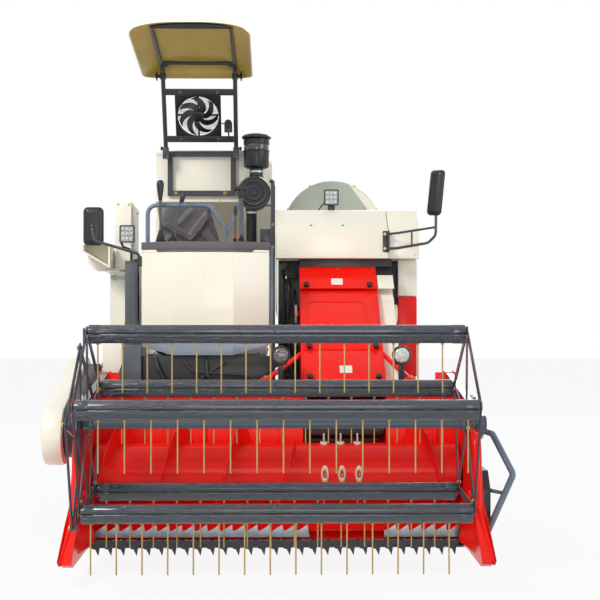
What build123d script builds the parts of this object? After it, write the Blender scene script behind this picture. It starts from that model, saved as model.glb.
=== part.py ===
from build123d import *
from math import asin, atan2, cos, degrees, hypot, pi, radians, sin
import os

os.makedirs("parts", exist_ok=True)

# Rubber-tracked combine harvester with an open operator station, in millimetres.
# +X is the machine's left side, -Y its front, +Z up; the ground is Z = 0 and the origin lies under
# the middle of the whole machine's box.

# ---------------------------------------------------------------- clearances
SEAT = 0.3          # seam between two pieces that are fastened to each other
RUNNING = 0.1       # radial clearance of a shaft in its bearing
FREE = 12           # room beside a piece that moves

# ---------------------------------------------------------------- tracks
TRACK_CENTRE_X = -85
TRACK_GAUGE = 1150
TRACK_WIDTH = 450
BELT = 45           # thickness of the rubber belt with its shoes
SPROCKET_Y, SPROCKET_Z, SPROCKET_R = -110, 400, 185
IDLER_Y, IDLER_Z, IDLER_R = 1700, 290, 205
ROLLER_R = 105
ROLLER_FIRST_Y, ROLLER_LAST_Y, ROLLERS = 250, 1400, 5
CARRIER_R = 50
WHEEL_WIDTH = 130
AXLE_R = 18
HANGER = 12         # thickness of the plates that hold the wheels
BEAM_HEIGHT = 88
BEAM_WIDTH = WHEEL_WIDTH + 2 * (5 + HANGER)

# ---------------------------------------------------------------- main frame
DECK_Z = 720        # top of the main frame, where thresher and engine stand
RAIL = 60
FRAME_LEFT, FRAME_RIGHT = 880, -1010
FRAME_FRONT, FRAME_REAR = 150, 2200
FLOOR_Z = 1050      # operator's floor
HITCH_Y, HITCH_R, HITCH_THICK = 2330, 16, 24   # behind the tank, so its pin drops in from above

# ---------------------------------------------------------------- thresher
THRESHER_LOW_X, THRESHER_HIGH_X = 5, 905
THRESHER_FRONT, THRESHER_REAR = 150, 2300
THRESHER_TOP = 2020
SHEET = 12
DRUM_X, DRUM_Z, DRUM_R = 380, 1927, 280
DRUM_FRONT, DRUM_REAR = 640, 2210
LID_FRONT, LID_REAR, LID_R = 600, 2250, 330

# ---------------------------------------------------------------- feeder and its pivot
PIVOT_Y, PIVOT_Z = -110, 1340
FEEDER_LOW_X, FEEDER_HIGH_X = 140, 630
FEEDER_R = 162      # rounded rear end about the pivot
FEEDER_SHEET = 8
MOUTH_LOW_Z, MOUTH_HIGH_Z = 420, 900
PIVOT_SHAFT_R = 25

# ---------------------------------------------------------------- cylinder that lifts the header
LIFT_X, LIFT_FOOT_Y, LIFT_FOOT_Z, LIFT_PIN_R, LIFT_BORE_R, LIFT_ROD_R = 200, 0, 640, 15, 36, 20
LIFT_EYE_Y, LIFT_EYE_Z, LIFT_EYE_R, LIFT_EYE_BORE, LIFT_FOOT_HALF = -460, 724, 34, 20, 38

# ---------------------------------------------------------------- header
HEADER_HALF = 1000  # half the width between the side sheets
SIDE_THICK = 50
BACK_Y = -890
HEADER_TOP_Z = 905
TROUGH_SHEET = 6
AUGER_Y, AUGER_Z = -1170, 480
AUGER_DRUM_R, FLIGHT_R, FLIGHT_PITCH, STUB_R = 150, 250, 340, 30
KNIFE_Z = 150
GUARD_PITCH = 76.2
GUARDS = 26
KNIFE_STROKE = 38

# ---------------------------------------------------------------- reel
REEL_Y, REEL_Z, REEL_R = -2000, 810, 450
REEL_HALF = HEADER_HALF - 95     # half the length of a bat
BATS, FIRST_BAT = 5, 15
REEL_SHAFT_R = 22.5
ARM_PIVOT_Y, ARM_PIVOT_Z = -890, 980
ARM_IN_X, ARM_OUT_X = HEADER_HALF - 38, HEADER_HALF
ARM_PIN_R = 12
ECC_Y, ECC_Z = 0, -80   # the eccentric's centre, from the shaft
ECC_R = 130
TINE_REACH, TINE_R, TINES = 300, 3.5, 15

# ---------------------------------------------------------------- grain tank and unloader
TANK_LOW_X, TANK_HIGH_X = -870, -50
TANK_FRONT, TANK_REAR = 1000, 2250
TANK_LOW_Z, TANK_TOP = 1150, 2450
TANK_WALL = 14
NECK_LOW_X, NECK_HIGH_X, NECK_FRONT, NECK_LOW_Z = -820, -230, 420, 2100
UNLOADER_X, UNLOADER_Y, UNLOADER_R = -1135, 2060, 80
UNLOADER_Z, SWIVEL_Z, SPOUT_Y = 1700, 1540, -40

# ---------------------------------------------------------------- hinges, canopy and bars
KNUCKLE_R, PIN_R, LUG = 9, 5, 24.7
BAR_R = 11
POST_LEFT, POST_RIGHT, POST_R = -277, -747, 14
POST_FOOT_Y, POST_FOOT_Z = 330, 2410
POST_HEAD_Y, POST_HEAD_Z = 65, 2940
ROOF_FRONT_Y, ROOF_FRONT_Z = -750, 3000
ROOF_REAR_Y, ROOF_REAR_Z = 135, 2883
ROOF_CENTRE_X, ROOF_WIDTH, ROOF_CROWN, ROOF_SHOULDER, ROOF_THICK = -521, 720, 25, 60, 6
FAN_X, FAN_R = -524, 127


def block(x, y, z):
    """A box from three (low, high) pairs."""
    size = (x[1] - x[0], y[1] - y[0], z[1] - z[0])
    return Pos(sum(x) / 2, sum(y) / 2, sum(z) / 2) * Box(*size)


def along_x(outline, low, high):
    """A (y, z) outline or sketch carried along X."""
    face = outline if isinstance(outline, Sketch) else Polygon(*outline, align=None)
    return extrude(Plane.YZ.offset(low) * face, amount=high - low, dir=(1, 0, 0))


def along_y(outline, low, high):
    """An (x, z) outline or sketch carried along Y."""
    face = outline if isinstance(outline, Sketch) else Polygon(*outline, align=None)
    return extrude(Plane.XZ.offset(-low) * face, amount=high - low, dir=(0, 1, 0))


def along_z(outline, low, high):
    """An (x, y) outline or sketch carried along Z."""
    face = outline if isinstance(outline, Sketch) else Polygon(*outline, align=None)
    return extrude(Plane.XY.offset(low) * face, amount=high - low, dir=(0, 0, 1))


def disc_x(centre, radius, low, high):
    """A round bar along X about (y, z)."""
    return along_x(Pos(*centre) * Circle(radius), low, high)


def disc_y(centre, radius, low, high):
    """A round bar along Y about (x, z)."""
    return along_y(Pos(*centre) * Circle(radius), low, high)


def disc_z(centre, radius, low, high):
    """A round bar along Z about (x, y)."""
    return along_z(Pos(*centre) * Circle(radius), low, high)


def bar(start, end, radius):
    """A round bar from one point to another."""
    line = Vector(*end) - Vector(*start)
    return extrude(Plane(origin=start, z_dir=line) * Circle(radius), amount=line.length)


def pipe(points, radius, bend):
    """A bent tube through the points, with one bend radius."""
    path = FilletPolyline(*points, radius=bend)
    return sweep(Plane(origin=path @ 0, z_dir=path % 0) * Circle(radius), path=path)


def belt(*circles):
    """The outline round several (y, z, radius) circles."""
    return make_hull([edge for y, z, r in circles for edge in (Pos(y, z) * Circle(r)).edges()])


def folded(points, thickness):
    """The outline of a folded sheet: a line of points, thickened on its left."""
    shifted = []
    normals = []
    for (y0, z0), (y1, z1) in zip(points, points[1:]):
        length = hypot(y1 - y0, z1 - z0)
        normals.append(((z0 - z1) / length, (y1 - y0) / length))
    for i, (y, z) in enumerate(points):
        before = normals[max(i - 1, 0)]
        after = normals[min(i, len(normals) - 1)]
        share = thickness / (1 + before[0] * after[0] + before[1] * after[1])
        shifted.append((y + (before[0] + after[0]) * share, z + (before[1] + after[1]) * share))
    return points + shifted[::-1]


def casing(x, y, z, wall, open_to=""):
    """A hollow box; open_to names open sides, such as '-z' or '+y -z'."""
    inside = []
    for low, high, name in ((*x, "x"), (*y, "y"), (*z, "z")):
        inside.append((low - wall if "-" + name in open_to else low + wall,
                       high + wall if "+" + name in open_to else high - wall))
    return block(x, y, z) - block(*inside)


def knuckles(round_bar, centre, low, high):
    """One hinge: a barrel for the piece that moves, and two lugs with a pin for the fixed one."""
    barrel = round_bar(centre, KNUCKLE_R, low + LUG + SEAT, high - LUG - SEAT)
    pin = round_bar(centre, PIN_R, low, high)
    lugs = round_bar(centre, KNUCKLE_R, low, low + LUG) + round_bar(centre, KNUCKLE_R, high - LUG, high)
    return barrel - round_bar(centre, PIN_R + RUNNING, low, high), lugs + pin


def save(name, *pieces):
    """One STEP file per node; the solids of one node don't touch."""
    solids = [solid for piece in pieces for solid in piece.solids()]
    export_step(Compound(solids), f"parts/{name}.step")


# ================================================================ running gear
track_sides = {"left": TRACK_CENTRE_X + TRACK_GAUGE / 2, "right": TRACK_CENTRE_X - TRACK_GAUGE / 2}
loop_wheels = [  # y, z, radius of the wheels that shape the belt
    (SPROCKET_Y, SPROCKET_Z, SPROCKET_R),
    (IDLER_Y, IDLER_Z, IDLER_R),
    (ROLLER_FIRST_Y, BELT + ROLLER_R, ROLLER_R),
    (ROLLER_LAST_Y, BELT + ROLLER_R, ROLLER_R),
]
roller_step = (ROLLER_LAST_Y - ROLLER_FIRST_Y) / (ROLLERS - 1)
beam_low = BELT + 2 * ROLLER_R + 7
beam_high = beam_low + BEAM_HEIGHT

# The carrier roller holds up the middle of the belt's upper run, a line that touches both end wheels.
wheel_y, wheel_z = IDLER_Y - SPROCKET_Y, IDLER_Z - SPROCKET_Z
run_angle = atan2(wheel_z, wheel_y) - asin((SPROCKET_R - IDLER_R) / hypot(wheel_y, wheel_z))
carrier_y = (SPROCKET_Y + IDLER_Y) / 2
carrier_reach = SPROCKET_R - CARRIER_R + (carrier_y - SPROCKET_Y) * sin(run_angle)
carrier_z = SPROCKET_Z + carrier_reach / cos(run_angle) - SEAT

wheels = [(SPROCKET_Y, SPROCKET_Z, SPROCKET_R - SEAT), (IDLER_Y, IDLER_Z, IDLER_R - SEAT)]
wheels += [(carrier_y, carrier_z, CARRIER_R)]
wheels += [(ROLLER_FIRST_Y + i * roller_step, BELT + ROLLER_R, ROLLER_R - SEAT) for i in range(ROLLERS)]
hanger_gap = WHEEL_WIDTH / 2 + 5

beams, rollers = [], []
for side, x in track_sides.items():
    outer = belt(*[(y, z, r + BELT) for y, z, r in loop_wheels])
    inner = belt(*loop_wheels)
    save(f"track_{side}", along_x(outer - inner, x - TRACK_WIDTH / 2, x + TRACK_WIDTH / 2))
    beam = block((x - BEAM_WIDTH / 2, x + BEAM_WIDTH / 2), (SPROCKET_Y + 250, IDLER_Y - 240),
                 (beam_low, beam_high))
    for y, z, r in wheels:
        axle_reach = hanger_gap + HANGER + 6
        rollers.append(disc_x((y, z), r, x - WHEEL_WIDTH / 2, x + WHEEL_WIDTH / 2)
                       + disc_x((y, z), AXLE_R, x - axle_reach, x + axle_reach))
        for sign in (-1, 1):
            low = x + sign * hanger_gap if sign > 0 else x - hanger_gap - HANGER
            foot_y = min(max(y, SPROCKET_Y + 290), IDLER_Y - 280)
            hanger = along_x(make_hull((Pos(y, z) * Circle(AXLE_R + 16)).edges()
                                       + (Pos(foot_y, (beam_low + beam_high) / 2)
                                          * Rectangle(70, BEAM_HEIGHT)).edges()), low, low + HANGER)
            beam += hanger
        beam -= disc_x((y, z), AXLE_R + RUNNING, x - 200, x + 200)
    beams.append(beam)
save("track_frames", *beams)
save("track_wheels", *rollers)

# ================================================================ main frame
frame_inner = (track_sides["right"] + BEAM_WIDTH / 2, track_sides["left"] - BEAM_WIDTH / 2)
cross_half = 40
RAIL_FRONT = 10
chassis = []
for y in (350, 850, 1350):
    chassis.append(block(frame_inner, (y - cross_half, y + cross_half), (beam_low, beam_high)))
rail_xs = (frame_inner[0] + 190, LIFT_X - LIFT_FOOT_HALF - RAIL - 44)
for x in rail_xs:
    chassis.append(block((x, x + RAIL), (RAIL_FRONT, 2100), (beam_high, beam_high + RAIL)))
    for y in (RAIL_FRONT, 500, 1250, 2040):
        chassis.append(block((x, x + RAIL), (y, y + RAIL), (beam_high, DECK_Z)))
for y in (RAIL_FRONT, 2040):
    chassis.append(block((rail_xs[0], rail_xs[1] + RAIL), (y, y + RAIL), (beam_high, beam_high + RAIL)))
deck_low = DECK_Z - RAIL
deck_rails = ((FRAME_RIGHT, FRAME_FRONT), (FRAME_LEFT - RAIL, FRAME_FRONT),
              (rail_xs[0], RAIL_FRONT), (rail_xs[1], RAIL_FRONT))  # x, front end
for x, front in deck_rails:
    chassis.append(block((x, x + RAIL), (front, FRAME_REAR), (deck_low, DECK_Z)))
for y in (FRAME_FRONT, 880, 1560, FRAME_REAR - RAIL):
    chassis.append(block((FRAME_RIGHT, FRAME_LEFT), (y, y + RAIL), (deck_low, DECK_Z)))
# Two arms and two posts carry the operator's platform in front of the deck.
platform_arms = (-940, -200)
for x in platform_arms:
    chassis.append(block((x, x + RAIL), (-560, FRAME_FRONT + RAIL), (FLOOR_Z - 30 - RAIL, FLOOR_Z - 30)))
    chassis.append(block((x, x + RAIL), (FRAME_FRONT, FRAME_FRONT + RAIL), (deck_low, FLOOR_Z - 30)))
# A post behind the radiator's screen door carries the door's hinge.
DOOR_LOW_X, DOOR_HIGH_X, DOOR_FRONT, DOOR_REAR, DOOR_LOW_Z, DOOR_HIGH_Z = -1075, -964, 0, 780, 930, 1610
chassis.append(block((FRAME_RIGHT, FRAME_RIGHT + 50), (DOOR_REAR + 20, DOOR_REAR + 80),
                     (DECK_Z, DOOR_HIGH_Z)))
door_hinge = (DOOR_LOW_X + 9, DOOR_REAR + 15)
for z in (DOOR_LOW_Z + 60, DOOR_HIGH_Z - 180):
    barrel, lugs = knuckles(disc_z, door_hinge, z, z + 120)
    for low in (z, z + 120 - LUG):
        lugs += block((door_hinge[0], FRAME_RIGHT + 5), (DOOR_REAR + 15 - KNUCKLE_R, DOOR_REAR + 21),
                      (low, low + LUG))
    chassis.append(lugs - barrel)
# The towing hitch: two ears with one upright bore at the rear.
hitch_x = (rail_xs[0] + rail_xs[1] + RAIL) / 2
hitch_low = beam_high + 2
for z in (hitch_low, hitch_low + RAIL - HITCH_THICK - 4):
    ear = block((hitch_x - 45, hitch_x + 45), (2040 + RAIL, HITCH_Y), (z, z + HITCH_THICK))
    ear += disc_z((hitch_x, HITCH_Y), 45, z, z + HITCH_THICK)
    chassis.append(ear - disc_z((hitch_x, HITCH_Y), HITCH_R, z - 1, z + HITCH_THICK + 1))
# Two ears under the deck's front rail hold the foot pin of the cylinder that lifts the header.
for x in (LIFT_X - LIFT_FOOT_HALF - 2 - HANGER, LIFT_X + LIFT_FOOT_HALF + 2):
    ear = block((x, x + HANGER), (LIFT_FOOT_Y, FRAME_FRONT + 5), (LIFT_FOOT_Z - 30, deck_low + 30))
    chassis.append(ear + disc_x((LIFT_FOOT_Y, LIFT_FOOT_Z), 30, x, x + HANGER))
foot_pin_half = LIFT_FOOT_HALF + HANGER + 2
chassis.append(disc_x((LIFT_FOOT_Y, LIFT_FOOT_Z), LIFT_PIN_R, LIFT_X - foot_pin_half, LIFT_X + foot_pin_half))
save("chassis_frame", sum(chassis[1:], chassis[0]))

gearbox = block((hitch_x - 150, hitch_x + 150), (-140, 330), (beam_high + RAIL + SEAT, deck_low - 30))
for side, x in track_sides.items():
    reach = (x - 82 - SEAT - HANGER, hitch_x) if side == "left" else (hitch_x, x + 82 + SEAT + HANGER)
    gearbox += disc_x((SPROCKET_Y, SPROCKET_Z), 60, *sorted(reach))
save("gearbox", gearbox)
ENGINE_TOP = 1330
save("engine", block((-850, -200), (FRAME_FRONT + 90, 880), (DECK_Z + SEAT, ENGINE_TOP)))

# ================================================================ operator's station
PLATFORM_LOW_X, PLATFORM_HIGH_X = -1040, -10
PLATFORM_FRONT, PLATFORM_REAR = -640, 130
platform_z = (FLOOR_Z - 30 + SEAT, FLOOR_Z)
platform = block((PLATFORM_LOW_X, PLATFORM_HIGH_X), (PLATFORM_FRONT, DOOR_FRONT - FREE), platform_z)
platform += block((DOOR_HIGH_X + FREE, PLATFORM_HIGH_X), (DOOR_FRONT - FREE, PLATFORM_REAR), platform_z)
PILLAR_TOP = 1675
save("operator_platform", platform, block((-960, -880), (-170, -90), (FLOOR_Z + SEAT, PILLAR_TOP)))

# The console is a faceted sheet-metal nose; its dark top band holds the levers.
CONSOLE_FRONT, CONSOLE_BACK = -700, -480
CONSOLE_LOW_Z, CONSOLE_BAND_Z, CONSOLE_TOP = 1166, 1697, 1768
console_plan = [(-810, -590), (-617, CONSOLE_FRONT), (-259, CONSOLE_FRONT), (-50, -590),
                (-50, CONSOLE_BACK), (-810, CONSOLE_BACK)]
chin_plan = [(x, max(y, -600)) for x, y in console_plan]
console = along_z(console_plan, CONSOLE_LOW_Z, CONSOLE_BAND_Z)
chin = along_z(chin_plan, FLOOR_Z + SEAT, CONSOLE_LOW_Z)
console = console + chin
console_room = [(-790, -570), (-612, -680), (-264, -680), (-70, -570), (-70, -400), (-790, -400)]
console -= along_z(console_room, FLOOR_Z + 60, CONSOLE_BAND_Z - 40)
save("console_shell", console)
save("console_top", along_z(console_plan, CONSOLE_BAND_Z + SEAT, CONSOLE_TOP))
GRIP_R = 13
hoop = [(-780, -510, CONSOLE_TOP + SEAT), (-780, -510, 1985), (-320, -510, 1985),
        (-320, -510, CONSOLE_TOP + SEAT)]
levers = [pipe(hoop, GRIP_R, 70)]  # x, y, top z, rod radius, grip radius, grip height
for x, y, top, rod_r, grip_r, grip_h in (
        (-700, -560, 2015, 7, 20, 120), (-585, -600, 1970, 6, 16, 70),
        (-255, -560, 1990, 6, 11, 60), (-180, -600, 2010, 6, 20, 70), (-225, -540, 1800, 5, 14, 26)):
    rod = disc_z((x, y), rod_r, CONSOLE_TOP + SEAT, top - grip_h)
    levers.append(rod + disc_z((x, y), grip_r, top - grip_h, top))
save("console_controls", *levers)

HOOD_TOP = 1450
hood_x = (DOOR_HIGH_X + FREE + 2, -70)
save("engine_hood", casing(hood_x, (-80, 900), (FLOOR_Z + SEAT, HOOD_TOP), 10, "-z"))
SEAT_LOW_X, SEAT_HIGH_X, BACKREST_Y, BACKREST_TOP = -760, -300, 230, 2010
COVER = 13          # thickness of the loose cover
seat_x = (SEAT_LOW_X + COVER + 2, SEAT_HIGH_X - COVER - 2)
seat = block(seat_x, (-70, BACKREST_Y + 100), (HOOD_TOP + SEAT, 1560))
seat += block(seat_x, (BACKREST_Y, BACKREST_Y + 100), (1560, BACKREST_TOP))
cover = block((SEAT_LOW_X, SEAT_HIGH_X), (BACKREST_Y - COVER - 2, BACKREST_Y + 100 + COVER + 2),
              (1580, BACKREST_TOP + COVER + SEAT))
cover -= block((SEAT_LOW_X + COVER, SEAT_HIGH_X - COVER), (BACKREST_Y - 2, BACKREST_Y + 102),
               (1500, BACKREST_TOP + SEAT))
save("seat", seat, cover)

# The screen box stands on the hood's edge; below it hangs the radiator's screen door.
SCREEN_LOW, SCREEN_TOP = DOOR_HIGH_Z + FREE, 2065
screen = casing((-1040, -940), (0, 420), (SCREEN_LOW, SCREEN_TOP), 8)
screen += block((-948, -900), (150, 420), (SCREEN_LOW + 20, SCREEN_LOW + 80))
screen += block((hood_x[0], -900), (150, 420), (HOOD_TOP + SEAT, SCREEN_LOW + 80))
save("radiator_screen_box", screen)
door = casing((DOOR_LOW_X, DOOR_HIGH_X), (DOOR_FRONT, DOOR_REAR), (DOOR_LOW_Z, DOOR_HIGH_Z), 8, "+x")
for z in (DOOR_LOW_Z + 60, DOOR_HIGH_Z - 180):
    barrel, lugs = knuckles(disc_z, door_hinge, z, z + 120)
    leaf_z = (z + LUG + SEAT, z + 120 - LUG - SEAT)
    door += block((DOOR_LOW_X, DOOR_LOW_X + 15), (DOOR_REAR - 4, door_hinge[1]), leaf_z) + barrel
    door -= disc_z(door_hinge, PIN_R + RUNNING, z, z + 120)
save("radiator_screen_door", door)

# ================================================================ thresher
opening_x = (DRUM_X - LID_R + 25, DRUM_X + LID_R - 25)
body = casing((THRESHER_LOW_X, THRESHER_HIGH_X), (THRESHER_FRONT, THRESHER_REAR),
              (DECK_Z + SEAT, THRESHER_TOP), SHEET)
body -= block(opening_x, (LID_FRONT + 20, LID_REAR - 20), (THRESHER_TOP - 50, THRESHER_TOP + 10))
body -= block((FEEDER_LOW_X, FEEDER_HIGH_X), (THRESHER_FRONT - 10, THRESHER_FRONT + 50), (1150, 1600))
body -= block((100, 800), (THRESHER_REAR - 50, THRESHER_REAR + 10), (1000, 1900))
# Bearing plates carry the feeder's pivot shaft, and bulkheads inside carry the drum.
BEARING = 15
bearing_xs = (FEEDER_LOW_X - 2 * BEARING, 745)
for x in bearing_xs:
    plate = block((x, x + BEARING), (PIVOT_Y, THRESHER_FRONT), (PIVOT_Z - 60, PIVOT_Z + 60))
    plate += disc_x((PIVOT_Y, PIVOT_Z), 60, x, x + BEARING)
    body += plate - disc_x((PIVOT_Y, PIVOT_Z), PIVOT_SHAFT_R + RUNNING, x - 1, x + BEARING + 1)
HUB_R = 30
for y in (DRUM_FRONT - 30, DRUM_REAR + 15):
    wall = block((THRESHER_LOW_X, THRESHER_HIGH_X), (y, y + 15), (DECK_Z + 20, THRESHER_TOP - 1))
    body += wall - disc_y((DRUM_X, DRUM_Z), HUB_R + RUNNING, y - 1, y + 16)
# The drum's cover is hinged along its left edge, and a service door hangs on the left wall.
lid_hinge = (DRUM_X + LID_R + 22, THRESHER_TOP + 10)
lid_room = LID_R - 8
lid_half = (LID_R ** 2 - (THRESHER_TOP - DRUM_Z) ** 2) ** 0.5
above = Pos(DRUM_X, THRESHER_TOP + SEAT + 500) * Rectangle(2000, 1000)
lid = along_y((Pos(DRUM_X, DRUM_Z) * Circle(LID_R)) & above, LID_FRONT, LID_REAR)
lid -= disc_y((DRUM_X, DRUM_Z), lid_room, LID_FRONT + 8, LID_REAR - 8)
for x in ((DRUM_X - lid_half - 22, DRUM_X - lid_half + 4), (DRUM_X + lid_half - 4, lid_hinge[0] - 12)):
    lid += block(x, (LID_FRONT, LID_REAR), (THRESHER_TOP + SEAT, THRESHER_TOP + 8))
for y in (LID_FRONT + 100, LID_REAR - 220):
    barrel, lugs = knuckles(disc_y, lid_hinge, y, y + 120)
    leaf = block((lid_hinge[0] - 30, lid_hinge[0]), (y + LUG + SEAT, y + 120 - LUG - SEAT),
                 (THRESHER_TOP + 1, THRESHER_TOP + 8))
    lid += leaf + barrel
    lid -= disc_y(lid_hinge, PIN_R + RUNNING, y, y + 120)
    for low in (y, y + 120 - LUG):
        lugs += block((lid_hinge[0] - KNUCKLE_R, lid_hinge[0] + KNUCKLE_R), (low, low + LUG),
                      (THRESHER_TOP, lid_hinge[1] - PIN_R))
    body += lugs
save("thresher_cover", lid)

SERVICE_FRONT, SERVICE_REAR, SERVICE_LOW, SERVICE_HIGH, SERVICE_THICK = 520, 1500, 820, 1520, 20
service_hinge = (THRESHER_HIGH_X + 16, SERVICE_FRONT - 12)
service = block((THRESHER_HIGH_X + SEAT, THRESHER_HIGH_X + SERVICE_THICK),
                (SERVICE_FRONT, SERVICE_REAR), (SERVICE_LOW, SERVICE_HIGH))
for z in (SERVICE_LOW + 60, SERVICE_HIGH - 180):
    barrel, lugs = knuckles(disc_z, service_hinge, z, z + 120)
    service += block((THRESHER_HIGH_X + 9, THRESHER_HIGH_X + SERVICE_THICK),
                     (service_hinge[1], SERVICE_FRONT + 4), (z + LUG + SEAT, z + 120 - LUG - SEAT))
    service += barrel
    service -= disc_z(service_hinge, PIN_R + RUNNING, z, z + 120)
    for low in (z, z + 120 - LUG):
        lugs += block((THRESHER_HIGH_X, service_hinge[0] - PIN_R),
                      (service_hinge[1] - KNUCKLE_R, service_hinge[1] + KNUCKLE_R), (low, low + LUG))
    body += lugs
save("thresher_side_door", service)
save("thresher_body", body)

drum = disc_y((DRUM_X, DRUM_Z), 200, DRUM_FRONT, DRUM_REAR)
drum += disc_y((DRUM_X, DRUM_Z), HUB_R, DRUM_FRONT - 28, DRUM_REAR + 28)
for i in range(6):
    angle = radians(60 * i)
    drum += bar((DRUM_X + 262 * cos(angle), DRUM_FRONT, DRUM_Z + 262 * sin(angle)),
                (DRUM_X + 262 * cos(angle), DRUM_REAR, DRUM_Z + 262 * sin(angle)), DRUM_R - 262)
for y in (DRUM_FRONT, (DRUM_FRONT + DRUM_REAR) / 2, DRUM_REAR - 20):
    drum += disc_y((DRUM_X, DRUM_Z), 268, y, y + 20)
save("threshing_drum", drum)

# The front hood closes the thresher above the feeder; a corner panel stands beside the feeder.
HOOD_LOW_Z = 1695
hood_side = [(-100, HOOD_LOW_Z), (THRESHER_FRONT - SEAT, HOOD_LOW_Z), (THRESHER_FRONT - SEAT, THRESHER_TOP),
             (100, THRESHER_TOP), (-100, 1866)]
front_hood = along_x(hood_side, -10, THRESHER_HIGH_X)
hood_room = [(-88, HOOD_LOW_Z + 12), (200, HOOD_LOW_Z + 12), (200, THRESHER_TOP - 12),
             (105, THRESHER_TOP - 12), (-88, 1860)]
save("front_hood", front_hood - along_x(hood_room, 2, THRESHER_HIGH_X - 12),
     block((787, 911), (95, THRESHER_FRONT - SEAT), (930, HOOD_LOW_Z - SEAT)))
# A red plate and a white strip carry the hood's face down to the feeder's top.
fold = [(-190, 1497), (-15, 1641), (-15, HOOD_LOW_Z - SEAT)]
save("feeder_top_plates", along_x(folded(fold, FEEDER_SHEET), FEEDER_LOW_X, FEEDER_HIGH_X),
     along_x(folded(fold, FEEDER_SHEET), FEEDER_HIGH_X + 4, 735))

save("straw_hood", casing((60, 850), (THRESHER_REAR + SEAT, 2470), (950, THRESHER_TOP), 10, "-y -z"))

# ================================================================ grain tank and unloader
tank_end = Polygon((TANK_LOW_X, TANK_TOP), (TANK_HIGH_X, TANK_TOP), (TANK_HIGH_X, TANK_LOW_Z),
                   (-330, DECK_Z + SEAT), (-730, DECK_Z + SEAT), (TANK_LOW_X, TANK_LOW_Z), align=None)
tank_room_end = offset(tank_end, -TANK_WALL, kind=Kind.INTERSECTION)
neck_side = [(NECK_FRONT, TANK_TOP), (NECK_FRONT, NECK_LOW_Z), (TANK_FRONT + 5, 1780),
             (TANK_FRONT + 5, TANK_TOP)]
neck_room = [(NECK_FRONT + TANK_WALL, TANK_TOP - TANK_WALL), (NECK_FRONT + TANK_WALL, NECK_LOW_Z + 8),
             (TANK_FRONT + 30, 1790), (TANK_FRONT + 30, TANK_TOP - TANK_WALL)]
tank = along_y(tank_end, TANK_FRONT, TANK_REAR) + along_x(neck_side, NECK_LOW_X, NECK_HIGH_X)
tank -= along_y(tank_room_end, TANK_FRONT + TANK_WALL, TANK_REAR - TANK_WALL)
tank -= along_x(neck_room, NECK_LOW_X + TANK_WALL, NECK_HIGH_X - TANK_WALL)
hatch_x, hatch_y = (-800, -340), (1220, 1880)
tank -= block(hatch_x, hatch_y, (TANK_TOP - 40, TANK_TOP + 10))
hatch_hinge = (hatch_x[1] + 52, TANK_TOP + 10)
hatch = block((hatch_x[0] - 25, hatch_x[1] + 40), (hatch_y[0] - 25, hatch_y[1] + 25),
              (TANK_TOP + SEAT, TANK_TOP + 12))
for y in (hatch_y[0] + 60, hatch_y[1] - 180):
    barrel, lugs = knuckles(disc_y, hatch_hinge, y, y + 120)
    hatch += block((hatch_hinge[0] - 20, hatch_hinge[0]), (y + LUG + SEAT, y + 120 - LUG - SEAT),
                   (TANK_TOP + 1, TANK_TOP + 8)) + barrel
    hatch -= disc_y(hatch_hinge, PIN_R + RUNNING, y, y + 120)
    for low in (y, y + 120 - LUG):
        lugs += block((hatch_hinge[0] - KNUCKLE_R, hatch_hinge[0] + KNUCKLE_R), (low, low + LUG),
                      (TANK_TOP, hatch_hinge[1] - PIN_R))
    tank += lugs
save("grain_tank", tank)
save("tank_hatch", hatch)

FLANGE_R, FLANGE = 98, 18
riser = disc_z((UNLOADER_X, UNLOADER_Y), UNLOADER_R, 770, SWIVEL_Z)
riser += disc_z((UNLOADER_X, UNLOADER_Y), FLANGE_R, SWIVEL_Z - FLANGE, SWIVEL_Z)
riser += disc_x((UNLOADER_Y, 850), UNLOADER_R, UNLOADER_X, -700)
riser -= along_y(offset(tank_end, SEAT, kind=Kind.INTERSECTION), TANK_FRONT, TANK_REAR)
save("unloader_riser", riser)
tube_path = [(UNLOADER_X, UNLOADER_Y, SWIVEL_Z + FLANGE), (UNLOADER_X, UNLOADER_Y, UNLOADER_Z),
             (UNLOADER_X, SPOUT_Y, UNLOADER_Z)]
unloader = pipe(tube_path, UNLOADER_R, 110)
unloader += disc_z((UNLOADER_X, UNLOADER_Y), FLANGE_R, SWIVEL_Z + SEAT, SWIVEL_Z + FLANGE + 4)
spout = block((UNLOADER_X - 88, UNLOADER_X + 88), (SPOUT_Y - 176, SPOUT_Y - SEAT),
              (UNLOADER_Z - 100, UNLOADER_Z + 84))
spout -= block((UNLOADER_X - 82, UNLOADER_X + 82), (SPOUT_Y - 170, SPOUT_Y - 6),
               (UNLOADER_Z - 110, UNLOADER_Z + 78))
save("unloader_tube", unloader, spout)

# ================================================================ canopy, fan and air cleaner
FRAME_BAR = 34
frame_x = (POST_RIGHT + 5, POST_LEFT - 5)
frame_z = (2140, 2440)
canopy = []
frame_y = (NECK_FRONT - SEAT - FRAME_BAR, NECK_FRONT - SEAT)
for x in (frame_x[0], frame_x[1] - FRAME_BAR):
    canopy.append(block((x, x + FRAME_BAR), frame_y, frame_z))
for z in (frame_z[0], frame_z[1] - FRAME_BAR):
    canopy.append(block(frame_x, frame_y, (z, z + FRAME_BAR)))
lean = (POST_HEAD_Y - POST_FOOT_Y) / (POST_HEAD_Z - POST_FOOT_Z)


def post_y(z):
    """Where the leaning posts stand at a height."""
    return POST_FOOT_Y + (z - POST_FOOT_Z) * lean


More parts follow.
